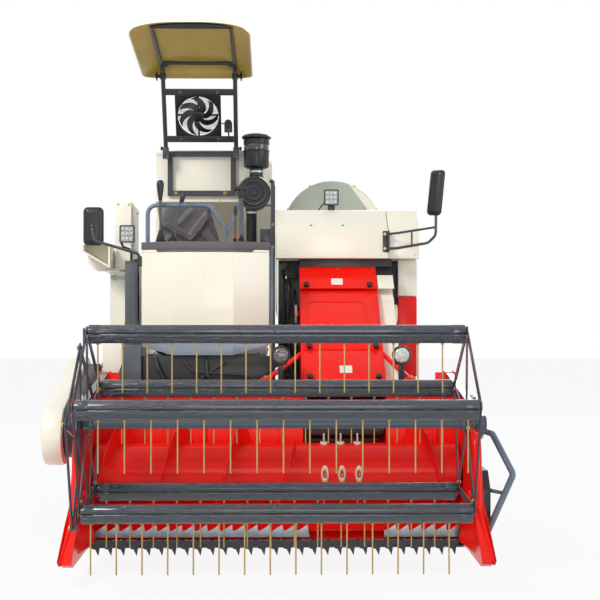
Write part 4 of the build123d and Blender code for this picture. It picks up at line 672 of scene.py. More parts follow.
heads("feeder_strip_bolts", [((0.735, y, z), LEFT) for y, z in ((-0.110, 1.420), (-0.300, 1.17), (-0.52, 0.98),
                                                                (-0.790, 0.745))], "header", 0.015, 0.007)

# Inside the channel a drum and two chains carry steel slats up to the threshing drum; the black sheets on
# its inner walls and the sloping one are painted shade for its dark inside.
lining = bmesh.new()
for x in (0.1425, 0.6295):
    brick(lining, (x - 0.001, x + 0.001), (-0.845, -0.62), (0.57, 0.90))
slab(lining, [(-0.62, 0.62), (-0.60, 0.62), (-0.44, 1.22), (-0.46, 1.22)], "x", 0.15, 0.62)
turned(lining, ((0.055, 0.0), (0.055, 0.46)), (0.155, -0.790, 0.675), LEFT, 24)
skin("feeder_shade_sheets_and_drum", lining, sheet_black, "header", 0.0)
bars("feeder_slats", [((0.385, -0.790 + 0.057 * wy, 0.675 + 0.057 * wz), (0, wy, wz), LEFT)
    for wy, wz in arc((0, 0), 1, 15, 60, 6)], grey_casting, "header", None, 0.45, 0.022, 0.020)

# ==================================================================== header
# The wide pan that takes in the crop: folded 3 mm steel in bright red enamel, its end sheets bolted on,
# with rolled edges so that the crop slides off them.
for node in ("header_trough", "header_sides", "header_braces"):
    coat_node(node, red_enamel)


def bent(points, radius, steps=5):
    """A line through the points with its corners rounded off."""
    line = [Vector(points[0])]
    for before, corner, after in zip(points, points[1:], points[2:]):
        c = Vector(corner)
        back, ahead = Vector(before) - c, Vector(after) - c
        cut = min(radius / tan(back.angle(ahead) / 2), back.length * 0.48, ahead.length * 0.48)
        start, end = c + back.normalized() * cut, c + ahead.normalized() * cut
        for i in range(steps + 1):
            t = i / steps
            line.append(start * (1 - t) ** 2 + c * 2 * t * (1 - t) + end * t * t)
    return line + [Vector(points[-1])]


def tube(bm, line, radius, sides=12):
    """A round tube along a line of points, closed at its ends; a list of radii makes it swell."""
    line = [Vector(p) for p in line]
    side, rings = None, []
    for i, p in enumerate(line):
        ahead = (line[min(i + 1, len(line) - 1)] - line[max(i - 1, 0)]).normalized()
        side = ahead.orthogonal() if side is None else side - ahead * side.dot(ahead)
        side.normalize()
        up = ahead.cross(side)
        r = radius[i] if isinstance(radius, (list, tuple)) else radius
        rings.append([bm.verts.new(p + (side * cos(2 * pi * k / sides) + up * sin(2 * pi * k / sides)) * r)
                      for k in range(sides)])
    join_rings(bm, rings, capped=True)
    return bm


END_EDGE = [(-0.925, 0.905), (-0.940, 0.745), (-1.500, 0.730), (-1.600, 0.690), (-1.620, 0.600),
            (-1.700, 0.350), (-1.950, 0.120)]
edges, pads = bmesh.new(), bmesh.new()
for side in (-1, 1):
    rim_line = bent([(side * (1.025 + 0.035 * max(0.0, 0.35 - z) / 0.23), y, z) for y, z in END_EDGE], 0.08)
    tube(edges, rim_line, [0.027 - 0.021 * min(1.0, max(0.0, 0.50 - p.z) / 0.30) for p in rim_line])
    slab(edges, [(-0.932, 0.945), (-0.930, 1.008), (-0.922, 1.008), (-0.922, 0.945)], "x",
         *sorted((side * 1.020, side * 0.900)))
    for y, z, w, h in ((-1.30, 0.60, 0.36, 0.14), (-1.40, 0.33, 0.34, 0.20), (-1.02, 0.60, 0.14, 0.16)):
        sheet_on(pads, (side * 1.0495, y, z), (0, side, 0), UP, rounded(w, h, 0.03), 0.0, 0.006,
                 rounded(w - 0.04, h - 0.04, 0.02))
skin("header_end_edges", edges, red_enamel, "header", 0.0, "red_paint", sharp=50)
skin("header_end_pressings", pads, red_enamel, "header", 0.001, "red_paint")

# Sloping points part the standing crop at both ends of the cutter bar.
dividers = bmesh.new()
for side in (-1, 1):
    shoe = [dividers.verts.new((side * x, y, z)) for x, y, z in (
        (1.046, -1.570, 0.470), (0.985, -1.570, 0.420), (0.935, -1.575, 0.170), (0.960, -1.560, 0.140),
        (1.050, -1.560, 0.130), (1.058, -1.780, 0.305), (1.070, -1.955, 0.135), (1.058, -1.950, 0.112),
        (1.020, -1.780, 0.118))]
    for face in ((0, 1, 5), (1, 2, 5), (2, 8, 5), (8, 6, 5), (8, 7, 6), (2, 3, 8), (3, 4, 7, 8), (4, 0, 5),
                 (4, 5, 6, 7), (0, 4, 3, 2, 1)):
        dividers.faces.new([shoe[k] for k in face])
skin("crop_dividers", dividers, red_enamel, "header", 0.003, "red_paint")

# Angle stiffeners and bolts along the trough's back and beam.
bars("trough_ribs", [((x, -0.892, 0.66), FRONT, UP) for x in (-0.86, -0.64, -0.42, -0.20, 0.02, 0.76, 0.90)],
     red_enamel, "header", "red_paint", 0.34, 0.030, 0.012)
lip = bmesh.new()
tube(lip, [(-0.996, -0.884, 0.897), (0.996, -0.884, 0.897)], 0.012)
brick(lip, (-0.998, 0.998), (-1.468, -1.400), (0.2005, 0.206))
skin("trough_lip", lip, red_enamel, "header", 0.002, "red_paint")
END_BOLTS = ((-0.90, 0.25), (-0.90, 0.55), (-1.12, 0.70), (-1.52, 0.66), (-1.60, 0.45), (-1.50, 0.20))
heads("header_bolts", [((x, -0.940, 0.937), FRONT) for x in (-0.80, -0.50, -0.25, 0.12, 0.55, 0.85)] +
      [((s * 1.050, y, z), (s, 0, 0)) for s in (-1, 1) for y, z in END_BOLTS], "header", 0.018, 0.009)

# Round work lamps on short black stems: black bezel, ribbed glass, bright reflector behind it.
# Clear lens: pale, with raised cells that sparkle; tinted lens: the same cells, brown-grey and unlit.
LENS_CELLS = ("Voronoi", {"Scale": 95.0})
lens = moulded("moulded_clear_lens", {"IOR": 1.49, "Coat Weight": 0.6}, LENS_CELLS, "#F2F3EE", "#8C9090",
               (0.08, 0.2), bump=(0.5, 0.002))
dark_lens = moulded("tinted_lens", {"IOR": 1.49, "Coat Weight": 1.0}, LENS_CELLS, "#8A7C78", "#3A3535")
bezels, stems = bmesh.new(), bmesh.new()
for x, glass in ((0.019, dark_lens), (0.709, lens)):
    turned(bezels, ((0.0, -0.010), (0.0530, -0.010), (0.0540, 0.054), (0.052, 0.0605), (0.0450, 0.0605),
                    (0.0440, 0.0560), (0, 0.0560)), (x, -0.889, 1.106), FRONT, 36)
    brick(stems, (x - 0.016, x + 0.016), (-0.902, -0.884), (0.966, 1.070))
    turned(stems, ((0.010, 0.0), (0.010, 0.072)), (x - 0.036, -0.905, 1.060), LEFT, 10)
    skin(f"round_lamp_glass_{'right' if x < 0.1 else 'left'}",
         turned(bmesh.new(), ((0.0440, 0.0), (0.043, 0.003), (0.030, 0.006), (0.0, 0.007)), (x, -0.9450, 1.106),
                FRONT, 32), glass, "header", sharp=60)
skin("round_lamp_bezels", bezels, black_moulding, "header", 0.001, "black_plastic")
skin("round_lamp_stems", stems, sheet_black, "header", 0.0015)

# Round braces, their flattened ends bolted to the feeder and the beam.
BRACE_XS = (-0.069, 0.764)
brace_ends = bmesh.new()
for x in BRACE_XS:
    turned(brace_ends, ((0.028, -0.006), (0.028, 0.006)), (x, -0.912, 0.972), UP, 16)
skin("brace_ends", brace_ends, red_enamel, "header", 0.002)
heads("brace_bolts", [((x, -0.912, 0.979), UP) for x in BRACE_XS], "header", 0.02, 0.01)

# The cover over the auger's and reel's drive belts: a deep cream moulding with softly rounded edges.
outline = arc((-0.610, 0.925), 0.160, -74, 7.5, 25) + arc((-1.390, 0.700), 0.160, 106, 7.5, 25)
MIDDLE_Y, MIDDLE_Z = -1.000, 0.8125  # halfway between its two wheels
skin("drive_cover_shell", slab(bmesh.new(), outline, "x", -1.226, -1.118), cream_enamel, "header", 0.022,
     "cream_paint", ("header_drive_cover",))
# Behind the shell, a smaller black copy of its outline is painted shade under the cover's edge.
skin("drive_cover_painted_shade", slab(bmesh.new(), [(MIDDLE_Y + (y - MIDDLE_Y) * 0.93, MIDDLE_Z + (z - MIDDLE_Z) * 0.86)
    for y, z in outline], "x", -1.119, -1.0504), sheet_black, "header", 0.004, "cream_paint")
along_cover = Vector((0, 0.780, 0.225)).normalized()
skin("drive_cover_rim", sheet_on(bmesh.new(), (-1.2255, MIDDLE_Y, MIDDLE_Z), -along_cover,
    Vector(RIGHT).cross(-along_cover), rounded(1.02, 0.22, 0.11, 8), -0.001, 0.005,
    rounded(0.99, 0.19, 0.095, 8)), cream_enamel, "header", 0.0015, "cream_paint")
heads("drive_cover_bolts", [(Vector((-1.226, MIDDLE_Y, MIDDLE_Z)) + along_cover * s, RIGHT)
    for s in (-0.38, 0.0, 0.38)], "header", 0.018, 0.009)

# Guard of bent tube round the knife's drive: greyish blue enamel over mild steel, with a black gear case.

# Blue-grey enamel: a cool accent on everything a hand holds or a guard shields.
blue_grey = enamel("blue_grey_enamel", "#6E8090", "#56687A", "#4D5359", 0.34, 0.25, 0.4)
RAIL_LINE = [(1.0683, -1.450, 0.690), (1.0750, -1.520, 0.731), (1.1170, -1.560, 0.718), (1.1995, -1.700, 0.525),
             (1.0693, -1.660, 0.215)]
rail = bmesh.new()
tube(rail, bent(RAIL_LINE, 0.035, 8), 0.0165, 16)
tube(rail, [(1.158, -1.687, 0.428), (1.100, -1.600, 0.430), (1.052, -1.558, 0.440)], 0.011)
skin("knife_drive_rail", rail, blue_grey, "header", 0.0, "blue_grey_paint", ("knife_drive_guard",), sharp=50)
case = bmesh.new()
slab(case, [(-1.640, 0.300), (-1.600, 0.245), (-1.360, 0.245), (-1.332, 0.280), (-1.332, 0.500),
            (-1.370, 0.528), (-1.560, 0.528), (-1.640, 0.440)], "x", 1.0506, 1.094)
turned(case, ((0.062, 0.0), (0.060, 0.008), (0.030, 0.008), (0.026, 0.010), (0, 0.010)), (1.093, -1.48, 0.38),
       LEFT, 28)
skin("knife_gear_case", case, sheet_black, "header", 0.006, "black_paint")
heads("gear_case_bolts", [((1.094, y, z), LEFT) for y, z in ((-1.60, 0.29), (-1.60, 0.43), (-1.37, 0.28),
    (-1.37, 0.49))], "header", 0.014, 0.006)

# ==================================================================== cutter bar and knife
# Cast guards, painted black, stand on a steel bar every 76.2 mm; ground and hardened sections, riveted to
# the knife's back, slide to and fro in their slots.
coat_node("cutter_bar", sheet_black)
coat_node("knife", bright_steel)
GUARD_PITCH = 0.0762
guard_tree, given = new_tree("guard_points", {"Length": 0.10, "Root": 0.014})
tip = add(guard_tree, "GeometryNodeMeshCone", {"Vertices": 8, "Radius Top": 0.0025,
    "Radius Bottom": given["Root"], "Depth": given["Length"]})
set_out(guard_tree, given, tip.outputs[0])
guards = [-0.9525 + GUARD_PITCH * i for i in range(26)]
grow("guard_points", guard_tree, places_mesh("guards", [
    ((x, -1.585 + 0.098, 0.134), (0, -1, 0.08), UP) for x in guards]), sheet_black, "header", "black_paint",
    length=0.115, root=0.016)
barbs, teeth = bmesh.new(), bmesh.new()
BARB = 0.0655
outline = [(-0.965, 0.176)] + [(-0.965 + BARB * i + a, z) for i in range(29)
    for a, z in ((0.0, 0.156), (0.016, 0.134), (0.030, 0.131), (0.047, 0.098), (0.053, 0.136))]
outline += [(0.935, 0.156), (0.935, 0.176)]
slab(barbs, outline, "y", -1.6025, -1.5985)
skin("guard_barbs", barbs, sheet_black, "header", 0.0, "black_paint")
TOOTH = 0.066
for low, high in ((-0.960, 0.170), (0.560, 0.960)):
    outline = [(low, 0.170), (high, 0.170)]
    for i in range(int((high - low) / TOOTH), 0, -1):
        outline += [(low + TOOTH * i, 0.203), (low + TOOTH * i - 0.004, 0.236),
                    (low + TOOTH * i - 0.050, 0.206)]
    slab(teeth, outline + [(low, 0.203)], "y", -1.4755, -1.4725)
skin("crop_stop_teeth", teeth, bright_steel, "header", 0.0)
heads("guard_bolts", [((x + 0.0381, -1.500, 0.129), FRONT) for x in guards[:-1]], "header", 0.013, 0.005,
      sheet_black)
section_tree, given = new_tree("knife_sections", {"Width": 0.07, "Reach": 0.06})
blade = add(section_tree, "GeometryNodeMeshCone", {"Vertices": 3, "Radius Top": 0.42, "Radius Bottom": 0.5,
    "Depth": 0.003})
blade_size = add(section_tree, "ShaderNodeCombineXYZ", {"X": given["Reach"], "Y": given["Width"], "Z": 1.0})
blade_made = add(section_tree, "GeometryNodeTransform", {"Geometry": blade, "Scale": blade_size})
set_out(section_tree, given, blade_made.outputs[0])
sections = [GUARD_PITCH * (i - 11.5) for i in range(24)]
grow("knife_section_faces", section_tree, places_mesh("sections", [
    ((x, -1.513, 0.1545), UP, FRONT) for x in sections]), bright_steel, "knife", "bright_steel",
    width=0.075, reach=0.060)
heads("knife_rivets", [((x + s * 0.018, -1.487, 0.160), UP) for x in sections for s in (-1, 1)], "knife",
      0.010, 0.003, bright_steel)

# ==================================================================== auger
# A steel drum with a rolled spiral welded round it, sprayed red and rubbed glossy by the crop; fingers of
# bright wire slide in cream bushes opposite the feeder's mouth.
AUGER = Vector((0, -1.170, 0.480))
skin("auger_drum", turned(bmesh.new(), ((0.030, -0.046 - 1.0), (0.030, -0.9875), (0.150, -0.9875),
    (0.1505, -0.50), (0.150, 0.0), (0.1505, 0.50), (0.150, 0.9875), (0.030, 0.9875), (0.030, 1.046)), AUGER,
    LEFT, 48), red_enamel, "auger", 0.0, "red_paint", ("auger",))
flight_tree, given = new_tree("auger_flight", {"Turns": 1.0, "Pitch": 0.34, "Inner": 0.149, "Outer": 0.25,
    "Sheet": 0.005, "Hand": 1.0})
strip = add(flight_tree, "GeometryNodeMeshGrid", {"Size X": 1.0, "Size Y": 1.0, "Vertices X": 132,
    "Vertices Y": 3})
here = add(flight_tree, "ShaderNodeSeparateXYZ",
           {0: add(flight_tree, "GeometryNodeInputPosition").outputs[0]}).outputs
share = add(flight_tree, "ShaderNodeMath", {0: here[0], 1: 0.5}, operation="ADD").outputs[0]
across = add(flight_tree, "ShaderNodeMath", {0: here[1], 1: 0.5}, operation="ADD").outputs[0]
turns = add(flight_tree, "ShaderNodeMath", {0: share, 1: given["Turns"]}, operation="MULTIPLY").outputs[0]
angle = add(flight_tree, "ShaderNodeMath", {0: turns, 1: 2 * pi}, operation="MULTIPLY").outputs[0]
reach = add(flight_tree, "ShaderNodeMapRange", {"Value": across, "To Min": given["Inner"],
    "To Max": given["Outer"]}).outputs[0]
cosine = add(flight_tree, "ShaderNodeMath", {0: angle}, operation="COSINE").outputs[0]
sine = add(flight_tree, "ShaderNodeMath", {0: angle}, operation="SINE").outputs[0]
sine = add(flight_tree, "ShaderNodeMath", {0: sine, 1: given["Hand"]}, operation="MULTIPLY").outputs[0]
fly = add(flight_tree, "ShaderNodeCombineXYZ", {
    "X": add(flight_tree, "ShaderNodeMath", {0: reach, 1: cosine}, operation="MULTIPLY").outputs[0],
    "Y": add(flight_tree, "ShaderNodeMath", {0: reach, 1: sine}, operation="MULTIPLY").outputs[0],
    "Z": add(flight_tree, "ShaderNodeMath", {0: turns, 1: given["Pitch"]}, operation="MULTIPLY").outputs[0]})
spiral = add(flight_tree, "GeometryNodeSetPosition", {"Geometry": strip, "Position": fly})
thick = add(flight_tree, "GeometryNodeExtrudeMesh", {"Mesh": spiral, "Offset Scale": given["Sheet"],
    "Individual": False}, mode="FACES")
back = add(flight_tree, "GeometryNodeFlipFaces", {"Mesh": spiral})
closed = add(flight_tree, "GeometryNodeJoinGeometry", {0: [thick, back]})
welded = add(flight_tree, "GeometryNodeMergeByDistance", {"Geometry": closed, "Distance": 0.00005})
set_out(flight_tree, given, welded.outputs[0])
for name, start, turning, way, along, hand in (("long", -0.978, 3.25, 1, (0, -0.786, -0.618), -1.0),
        ("short", 0.978, 0.9, -1, (0, 0.643, -0.766), 1.0)):
    grow(f"auger_flight_{name}", flight_tree, places_mesh("start",
        [((start, AUGER.y, AUGER.z), (way, 0, 0), along)]), red_enamel, "auger", "red_paint", turns=turning,
         pitch=0.330, hand=hand)
# Nylon bush: yellowish cream, worn smooth by straw.
cream_bush = enamel("cream_nylon_bush", "#EFE3C4", "#DDCFA9", "#B7A67E", 0.4, 0.0, 0.2)
fingers, bushes = bmesh.new(), bmesh.new()
for row in range(4):
    turn = radians(90 * row)
    way = Vector((0, cos(turn), sin(turn)))
    for x in (0.255, 0.347, 0.439):
        root = AUGER + Vector((x, 0, 0))
        turned(fingers, ((0.0065, 0.14), (0.0065, 0.198), (0.004, 0.2045), (0.0, 0.205)), root, way, 12)
        rings = []
        for share, high in ((1.0, 0.1495), (1.0, 0.156), (0.85, 0.1605), (0.60, 0.1600), (0.50, 0.1545),
                            (0.45, 0.1500)):
            ring = []
            for a in [2 * pi * k / 24 for k in range(24)]:
                b = turn + 0.30 * share * sin(a)
                out = Vector((0.021 * share * cos(a), high * cos(b), high * sin(b)))
                ring.append(bushes.verts.new(root + out))
            rings.append(ring)
        join_rings(bushes, rings, closed=True)
skin("auger_fingers", fingers, bright_steel, "auger", sharp=50)
skin("auger_bushes", bushes, cream_bush, "auger", 0.0, sharp=40)

# ==================================================================== reel
# Five folded steel bats with spring-wire tines hang between two five-armed frames and stay upright,
# because a second frame on an eccentric steers their cranks. Flat bar, tube and zinc-plated bolts.

# Arm enamel: dark blue-grey with a light edge where it chips.
arm_grey = enamel("dark_blue_grey_enamel", "#3A4652", "#2B3641", "#6C7680", 0.32, 0.35, 0.3)
for node, coat in (("reel_arms", arm_grey), ("reel_rotor", arm_grey), ("eccentric_spider", arm_grey),
                   ("reel_cylinder_barrels", sheet_black), ("reel_cylinder_rods", bright_steel),
                   ("lift_cylinder_barrel", sheet_black), ("lift_cylinder_rod", bright_steel)):
    coat_node(node, coat)
REEL, REEL_R, HALF = Vector((0, -2.000, 0.810)), 0.450, 0.905


def five_arms(height, radius, start=165):
    """The (y, z) places at one radius on the five arms of a frame whose axis is at that height."""
    return arc((REEL.y, height), radius, start, -72, 5)


bat_places = five_arms(REEL.z, REEL_R)
hubs = bmesh.new()
for side in (-1, 1):
    turned(hubs, ((0.0235, 0.0), (0.060, 0.0), (0.060, 0.006), (0.044, 0.012), (0.0345, 0.012), (0.0345, 0.030),
                  (0.0235, 0.030)), (side * 0.918, REEL.y, REEL.z), (-side, 0, 0), 32, closed=True)
skin("reel_hubs", hubs, arm_grey, "reel", 0.001, "blue_grey_paint")
heads("reel_frame_bolts", [((side * x, y, z), (side * way, 0, 0)) for side in (-1, 1)
    for x, way in ((0.912, -1), (0.918, 1)) for pair in zip(five_arms(REEL.z, 0.045, 129),
    five_arms(REEL.z, 0.405)) for y, z in pair], "reel", 0.016, 0.006)
ECCENTRIC_Z = 0.730
heads("eccentric_bolts", [((-0.950, y, z), RIGHT) for pair in zip(five_arms(ECCENTRIC_Z, 0.148),
    five_arms(ECCENTRIC_Z, 0.405)) for y, z in pair], "eccentric", 0.015, 0.006)
rim_rods = bmesh.new()
for side in (-1, 1):
    plate = (side * 1.0005, REEL.y, REEL.z)
    turned(rim_rods, ((0.024, 0.0), (0.040, 0.0), (0.036, 0.008), (0.024, 0.008)), plate, (side, 0, 0), 28,
           closed=True)
skin("reel_bearings", rim_rods, grey_casting, "reel_arms", 0.001)
heads("reel_arm_bolts", [((side * 1.0, y, z), (side, 0, 0)) for side in (-1, 1)
    for y, z in ((-1.10, 0.948), (-1.60, 0.871), (-1.955, 0.835))], "reel_arms", 0.018, 0.008)

# Rolled sheet under thick dark enamel: long low waves 60 mm apart that break its gloss into streaks.
bat_enamel = moulded("glossy_wrinkled_enamel", {"IOR": 1.5, "Coat Weight": 0.8, "Coat Roughness": 0.07},
    ("Noise", {"Scale": 2.2, "Detail": 5.0, "Distortion": 0.8}), "#0C1118", "#2A3747", (0.10, 0.26),
    bump=(1.0, 0.012), stretch=(6.0, 1.0, 40.0))
# Spring wire under yellow lacquer: a warm, half-metallic line against the dark reel.
tine_wire = plated_steel("lacquered_spring_wire", "#BBA670", "#967C42", 0.42, 0.55)
tine_tree, given = new_tree("wire_tines", {"Length": 0.24, "Wire": 0.0037, "Coil": 0.0075})
wire = add(tine_tree, "GeometryNodeMeshCylinder", {"Vertices": 6, "Radius": given["Wire"],
    "Depth": given["Length"]})
drop = add(tine_tree, "ShaderNodeMath", {0: given["Length"], 1: 0.5}, operation="MULTIPLY").outputs[0]
shift = add(tine_tree, "ShaderNodeCombineXYZ", {"Z": drop})
hung = add(tine_tree, "GeometryNodeTransform", {"Geometry": wire, "Translation": shift})
coil = add(tine_tree, "GeometryNodeMeshCylinder", {"Vertices": 10, "Radius": given["Coil"], "Depth": 0.022})
coil_set = add(tine_tree, "GeometryNodeTransform", {"Geometry": coil, "Translation": (0.0, 0.0, -0.002)})
tine = add(tine_tree, "GeometryNodeJoinGeometry", {0: [hung, coil_set]})
set_out(tine_tree, given, tine.outputs[0])
SECTION = [(-0.026, -0.0135), (-0.0325, -0.008), (-0.0322, 0.006), (-0.025, 0.018), (-0.012, 0.0285),
           (0.022, 0.0285), (0.026, 0.024), (0.026, -0.045), (0.002, -0.059), (-0.010, -0.0595),
           (-0.020, -0.050), (-0.0295, -0.032), (-0.0315, -0.022), (-0.0305, -0.0165)]
TINE_STEP, TINE_SHIFTS = 0.1185, (0.027, -0.033, 0.027, -0.033, -0.033)
CRANK = 0.080  # how far each crank, and the eccentric, hangs below its bat
for number, (y, z) in enumerate(bat_places, 1):
    beam = bmesh.new()
    slab(beam, [(y + a, z + b) for a, b in SECTION], "x", -HALF, HALF)
    for cut in (-0.45, -0.225, 0.0, 0.225, 0.45):
        bmesh.ops.bisect_plane(beam, geom=beam.verts[:] + beam.edges[:] + beam.faces[:], plane_co=(cut, 0, 0),
            plane_no=LEFT)
    for low, high in ((-HALF + 0.004, -HALF + 0.06), (-0.018, 0.018), (HALF - 0.06, HALF - 0.004)):
        slab(beam, [(y + a * 1.05, z + b * 1.035) for a, b in SECTION], "x", low, high)
    skin(f"bat_{number}_beam", beam, bat_enamel, f"bat_{number}", 0.003, "bat_paint", (f"reel_bat_{number}",))
    fittings = bmesh.new()
    for side in (-1, 1):
        turned(fittings, ((0.0099, 0.0), (0.0099, 0.030 if side < 0 else 0.017)), (side * (HALF - 0.002), y, z),
               (side, 0, 0), 16)
        turned(fittings, ((0.018, 0.0), (0.018, 0.0060)), (side * HALF, y, z), (side, 0, 0), 16)
    slab(fittings, arc((y, z), 0.016, 0, 15, 13) + arc((y, z - CRANK), 0.014, 180, 15, 13), "x", -0.932, -0.926)
    turned(fittings, ((0.0079, 0.0), (0.0079, 0.024)), (-0.930, y, z - CRANK), RIGHT, 14)
    skin(f"bat_{number}_fittings", fittings, arm_grey, f"bat_{number}", 0.0008)
    grow(f"bat_{number}_tines", tine_tree, places_mesh("tines",
        [((TINE_SHIFTS[number - 1] + TINE_STEP * (i - 7), y + 0.004, z - 0.058), DOWN, LEFT)
         for i in range(15)]), tine_wire, f"bat_{number}", length=0.241)
grow("bat_bolts_right", head_tree, places_mesh("heads", [((-0.956, y, z - CRANK), RIGHT, UP)
    for y, z in bat_places]), zinc, "eccentric", width=0.018, height=0.007)

# ==================================================================== operator's platform
# Chequered steel floor on two arms of the frame, a dark grey pillar that holds a lamp, and behind it the
# valves, hoses and levers' rods that show between the console and the feeder.

# Pillar enamel: mid grey, flatter than the console above it.
pillar_grey = enamel("dark_grey_enamel", "#565D63", "#474E54", "#7E8184", 0.4, 0.1, 0.3)
coat_node("operator_platform", pillar_grey)
CHEQUER = 0.036
bars("floor_chequers", [((-1.02 + CHEQUER * i, -0.622 + CHEQUER * j, 1.0505), UP,
    (1, 1 if (i + j) % 2 else -1, 0)) for i in range(28) for j in range(20) if not (0 < i < 8 and 11 < j < 17)],
     pillar_grey, "root", None, 0.026, 0.007, 0.003)
pillar = bmesh.new()
slab(pillar, [(-0.978, 1.0505), (-0.862, 1.0505), (-0.880, 1.30), (-0.880, 1.60), (-0.8795, 1.655),
              (-0.9605, 1.655), (-0.960, 1.30)], "y", -0.1705, -0.0895)
sheet_on(pillar, (-0.920, -0.1715, 1.36), LEFT, UP, rounded(0.060, 0.50, 0.012), 0.0, 0.003)
skin("pillar_casing", pillar, pillar_grey, "root", 0.003)
edge_trim = bmesh.new()
tube(edge_trim, [(-1.036, -0.640, 1.035), (-0.014, -0.640, 1.035)], 0.014)
tube(edge_trim, [(-0.010, -0.640, 1.035), (-0.010, 0.125, 1.035)], 0.014)
skin("floor_edge", edge_trim, sheet_black, "root", 0.0)

# Below the console a black sheet across the platform's front is painted shade for the dark space under the
# console; a dark grey foot and the end of a cream side sheet stand beside it.
skin("platform_front_painted_shade", slab(bmesh.new(), [(-0.800, 0.740), (-0.012, 0.740), (-0.012, 1.094), (-0.800, 1.094)],
    "y", -0.662, -0.6555), sheet_black, "root", 0.001)
skin("platform_foot", slab(bmesh.new(), [(-0.800, 0.740), (-0.800, 1.160), (-0.907, 1.160), (-0.912, 1.060),
    (-0.945, 0.960), (-0.962, 0.740)], "y", -0.690, -0.6555), pillar_grey, "root", 0.008)
skin("platform_side_sheet", slab(bmesh.new(), [(-0.903, 0.760), (-0.903, 1.240), (-1.030, 1.240),
    (-1.030, 0.760)], "y", -0.668, -0.6555), cream_enamel, "root", 0.003)

# Hose: black rubber whose wrapped cloth leaves close ridges round it.
hose_black = moulded("rubber_hydraulic_hose", {"IOR": 1.5}, ("Wave", {"Scale": 90.0, "Distortion": 1.0}),
    "#141518", "#25272B", (0.42, 0.6), bump=(0.3, 0.0008))
HOSES = (  # how wide it bends, its radius and its line; every hose and pipe is held at both ends
    (0.06, 0.013, ((0.030, 0.125, 1.62), (0.032, 0.060, 1.56), (0.040, 0.050, 1.30), (0.020, 0.070, 1.05),
                   (0.050, 0.125, 0.90))),
    (0.06, 0.011, ((0.070, 0.125, 1.58), (0.075, 0.045, 1.52), (0.060, 0.040, 1.22), (0.085, 0.080, 1.00),
                   (0.080, 0.125, 0.84))),
    (0.06, 0.009, ((0.110, 0.125, 1.50), (0.108, 0.070, 1.42), (0.112, 0.068, 1.25), (0.096, 0.100, 1.12),
                   (0.100, 0.130, 1.02))),
    (0.06, 0.010, ((0.020, 0.100, 1.16), (0.090, 0.060, 1.12), (0.118, 0.060, 1.16), (0.120, 0.120, 1.30))),
    (0.06, 0.011, ((-0.60, -0.42, 1.10), (-0.55, -0.46, 1.085), (-0.30, -0.47, 1.09), (-0.12, -0.40, 1.075),
                   (-0.04, -0.30, 1.062))),
    (0.05, 0.011, ((-0.72, -0.662, 1.085), (-0.70, -0.700, 1.02), (-0.64, -0.700, 0.90),
                   (-0.56, -0.662, 0.80))),
    (0.05, 0.010, ((-0.42, -0.662, 1.085), (-0.41, -0.700, 0.98), (-0.36, -0.700, 0.88),
                   (-0.20, -0.662, 0.84))),
    (0.05, 0.009, ((-0.55, -0.662, 1.06), (-0.50, -0.690, 1.00), (-0.20, -0.690, 0.98), (-0.06, -0.662, 0.92))),
    (0.05, 0.008, ((-0.76, -0.662, 0.84), (-0.60, -0.685, 0.86), (-0.45, -0.685, 0.96), (-0.30, -0.662, 1.06))))
hoses, valves, unions = bmesh.new(), bmesh.new(), bmesh.new()
for bend, r, line in HOSES:
    tube(hoses, bent(line, bend), r, 10)
for x, y, z, w, h in ((0.055, 0.112, 1.40, 0.075, 0.070), (0.040, 0.112, 1.20, 0.060, 0.050),
        (0.085, 0.112, 0.96, 0.080, 0.060), (0.100, 0.118, 1.60, 0.050, 0.050)):
    brick(valves, (x - w / 2, x + w / 2), (y - 0.028, 0.140), (z - h / 2, z + h / 2))
    for s in (-0.3, 0.3):
        turned(unions, ((0.010, 0.0), (0.010, 0.012), (0.006, 0.012), (0.006, 0.020)),
               (x + s * w, y - 0.028, z), FRONT, 6)
turned(unions, ((0.022, 0.0), (0.024, 0.006), (0.024, 0.030), (0.018, 0.036), (0, 0.036)),
       (0.045, 0.085, 1.655), FRONT, 20)
skin("hydraulic_hoses", hoses, hose_black, "root", 0.0, sharp=50)
skin("hydraulic_valves", valves, grey_casting, "root", 0.004)
skin("hose_unions", unions, grey_casting, "root", 0.001)

# ==================================================================== console
# A cream sheet-metal nose with five facets round the operator's knees, over a blue-grey apron. Its dark
# grey top is a thick moulding that is notched into the sheet, and carries the hand rail and levers.
FACETS = [(-0.810, -0.590), (-0.617, -0.700), (-0.259, -0.700), (-0.050, -0.590)]
CONSOLE_LOW, BAND_END, BAND_MIDDLE, CONSOLE_TOP, CONSOLE_BACK = 1.1662, 1.722, 1.707, 1.768, -0.482


def nose_wall(bm, low, high, grow_by=0.0, wall=0.018):
    """The console's folded wall between two heights: five facets, open at the operator's side."""
    right, right_tip, left_tip, left = (x for x, y in FACETS)
    flank, tip = FACETS[0][1], FACETS[1][1]
    outer = [(right - grow_by, CONSOLE_BACK)]
    outer += [(x + grow_by * (1 if x > -0.4 else -1) * (0.35 if y == tip else 1), y - grow_by)
              for x, y in FACETS]
    outer += [(left + grow_by, CONSOLE_BACK)]
    inner = [(left - wall, CONSOLE_BACK), (left - wall, flank + wall * 0.6),
             (left_tip - wall * 0.2, tip + wall), (right_tip + wall * 0.2, tip + wall),
             (right + wall, flank + wall * 0.6), (right + wall, CONSOLE_BACK)]
    slab(bm, outer + inner, "z", low, high)


def keep_side(bm, place, way):
    """Cuts a piece along a plane, keeps the side that way points from, and closes the cut."""
    cut = bmesh.ops.bisect_plane(bm, geom=bm.verts[:] + bm.edges[:] + bm.faces[:], plane_co=place, plane_no=way,
        clear_outer=True)["geom_cut"]
    bmesh.ops.holes_fill(bm, edges=[e for e in cut if isinstance(e, bmesh.types.BMEdge)])


shell = bmesh.new()
nose_wall(shell, CONSOLE_LOW, BAND_MIDDLE)
skin("console_panel", shell, cream_enamel, "root", 0.004, "cream_paint", ("console_shell",))
